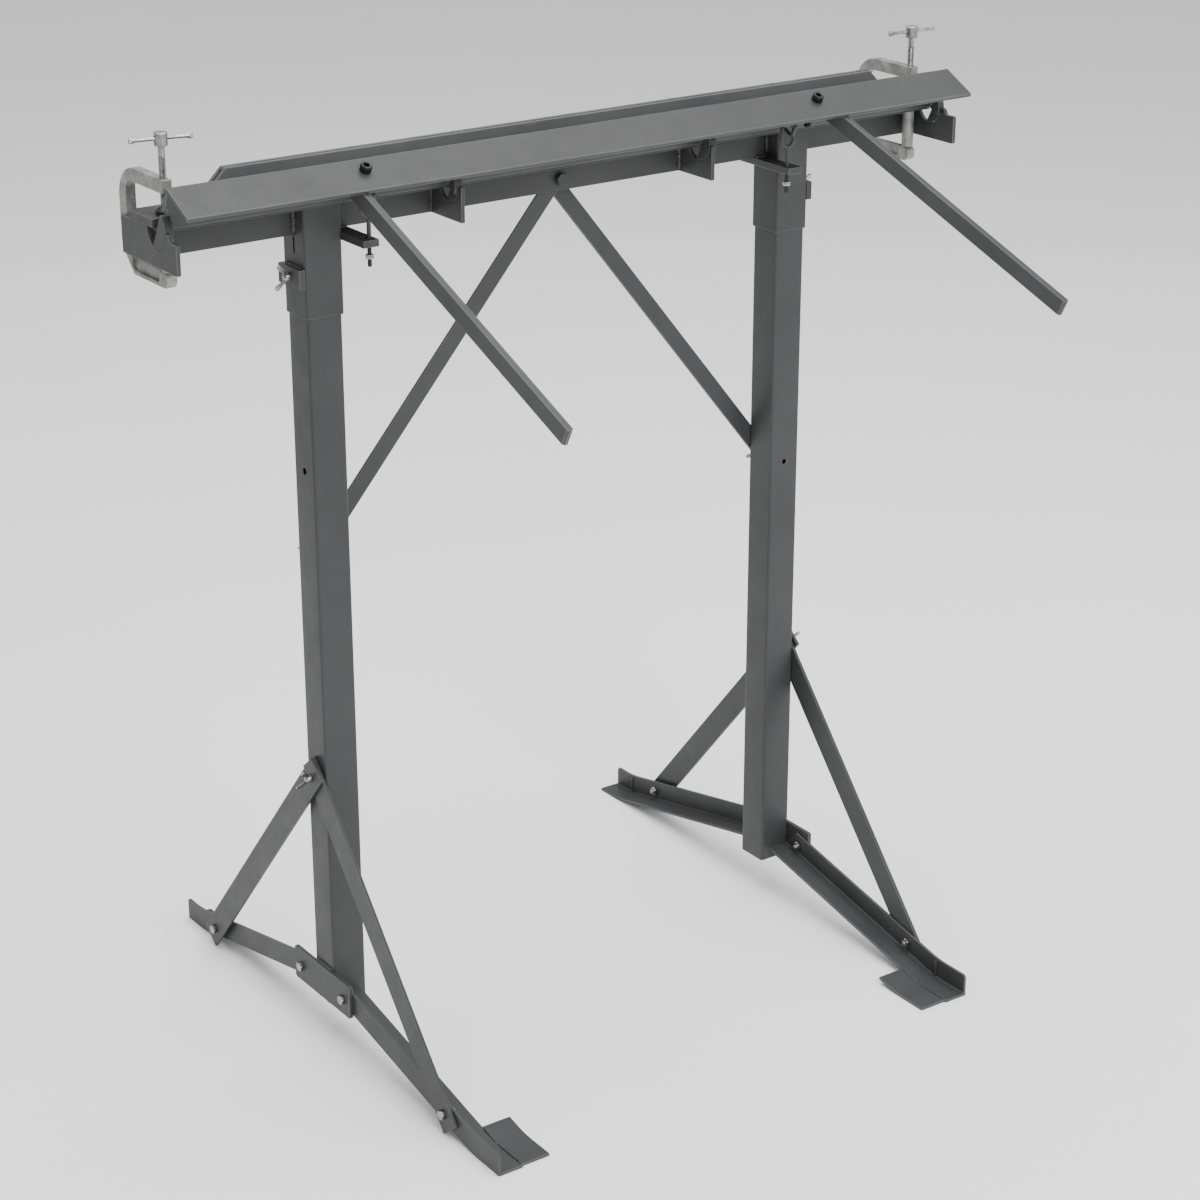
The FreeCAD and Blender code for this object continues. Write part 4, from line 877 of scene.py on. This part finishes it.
# ---------------------------------------------------------------- stage, light and camera

def stage():
    """A plain pale floor, just under the feet."""
    bm = bmesh.new()
    bmesh.ops.create_grid(bm, x_segments=1, y_segments=1, size=30)
    mesh = bpy.data.meshes.new("floor")
    bm.to_mesh(mesh)
    bm.free()
    floor = bpy.data.objects.new("floor", mesh)
    floor.location.z = -0.2 * MM
    mesh.materials.append(pale_floor())
    bpy.context.scene.collection.objects.link(floor)


def area_light(name, place, target, size, power):
    light = bpy.data.lights.new(name, "AREA")
    light.shape = "SQUARE"
    light.size = size
    light.energy = power
    lamp = bpy.data.objects.new(name, light)
    lamp.location = place
    lamp.rotation_euler = (Vector(target) - Vector(place)).to_track_quat("-Z", "Y").to_euler()
    bpy.context.scene.collection.objects.link(lamp)


def lights():
    """Soft studio light: a bright surround, a key from the front left, a large top light and a weak fill."""
    world = bpy.data.worlds.new("studio")
    bpy.context.scene.world = world
    world.use_nodes = True
    background = world.node_tree.nodes["Background"]
    background.inputs["Color"].default_value = (1.0, 1.0, 1.0, 1.0)
    background.inputs["Strength"].default_value = 0.76
    area_light("key", (-0.6, -4.4, 3.4), (0, 0, 1.0), 2.2, 175)
    area_light("top", (0.2, 0.2, 4.8), (0, 0, 0.6), 5.0, 320)
    area_light("fill", (3.6, -2.8, 2.0), (0, 0, 0.8), 2.6, 45)


def camera():
    """The photographer's place: front left of the stand, a little above the bed."""
    data = bpy.data.cameras.new("camera")
    data.sensor_width = 36
    data.lens = 84.51
    data.shift_x = -0.0027
    data.shift_y = -0.0094
    data.clip_end = 100
    eye = bpy.data.objects.new("camera", data)
    eye.location = (-2.2073, -3.1744, 2.1744)
    eye.rotation_euler = (math.radians(90 - 21.726), 0, math.radians(-35.293))
    bpy.context.scene.collection.objects.link(eye)
    bpy.context.scene.camera = eye


plates()
clamp_frames()
side_bolts()
web_bolt()
handle_hardware()
wing_screws()
clamp_hardware()
eye_bolts()
bed_welds()
leg_welds()
leaf_welds()
bar_welds()
stage()
lights()
camera()
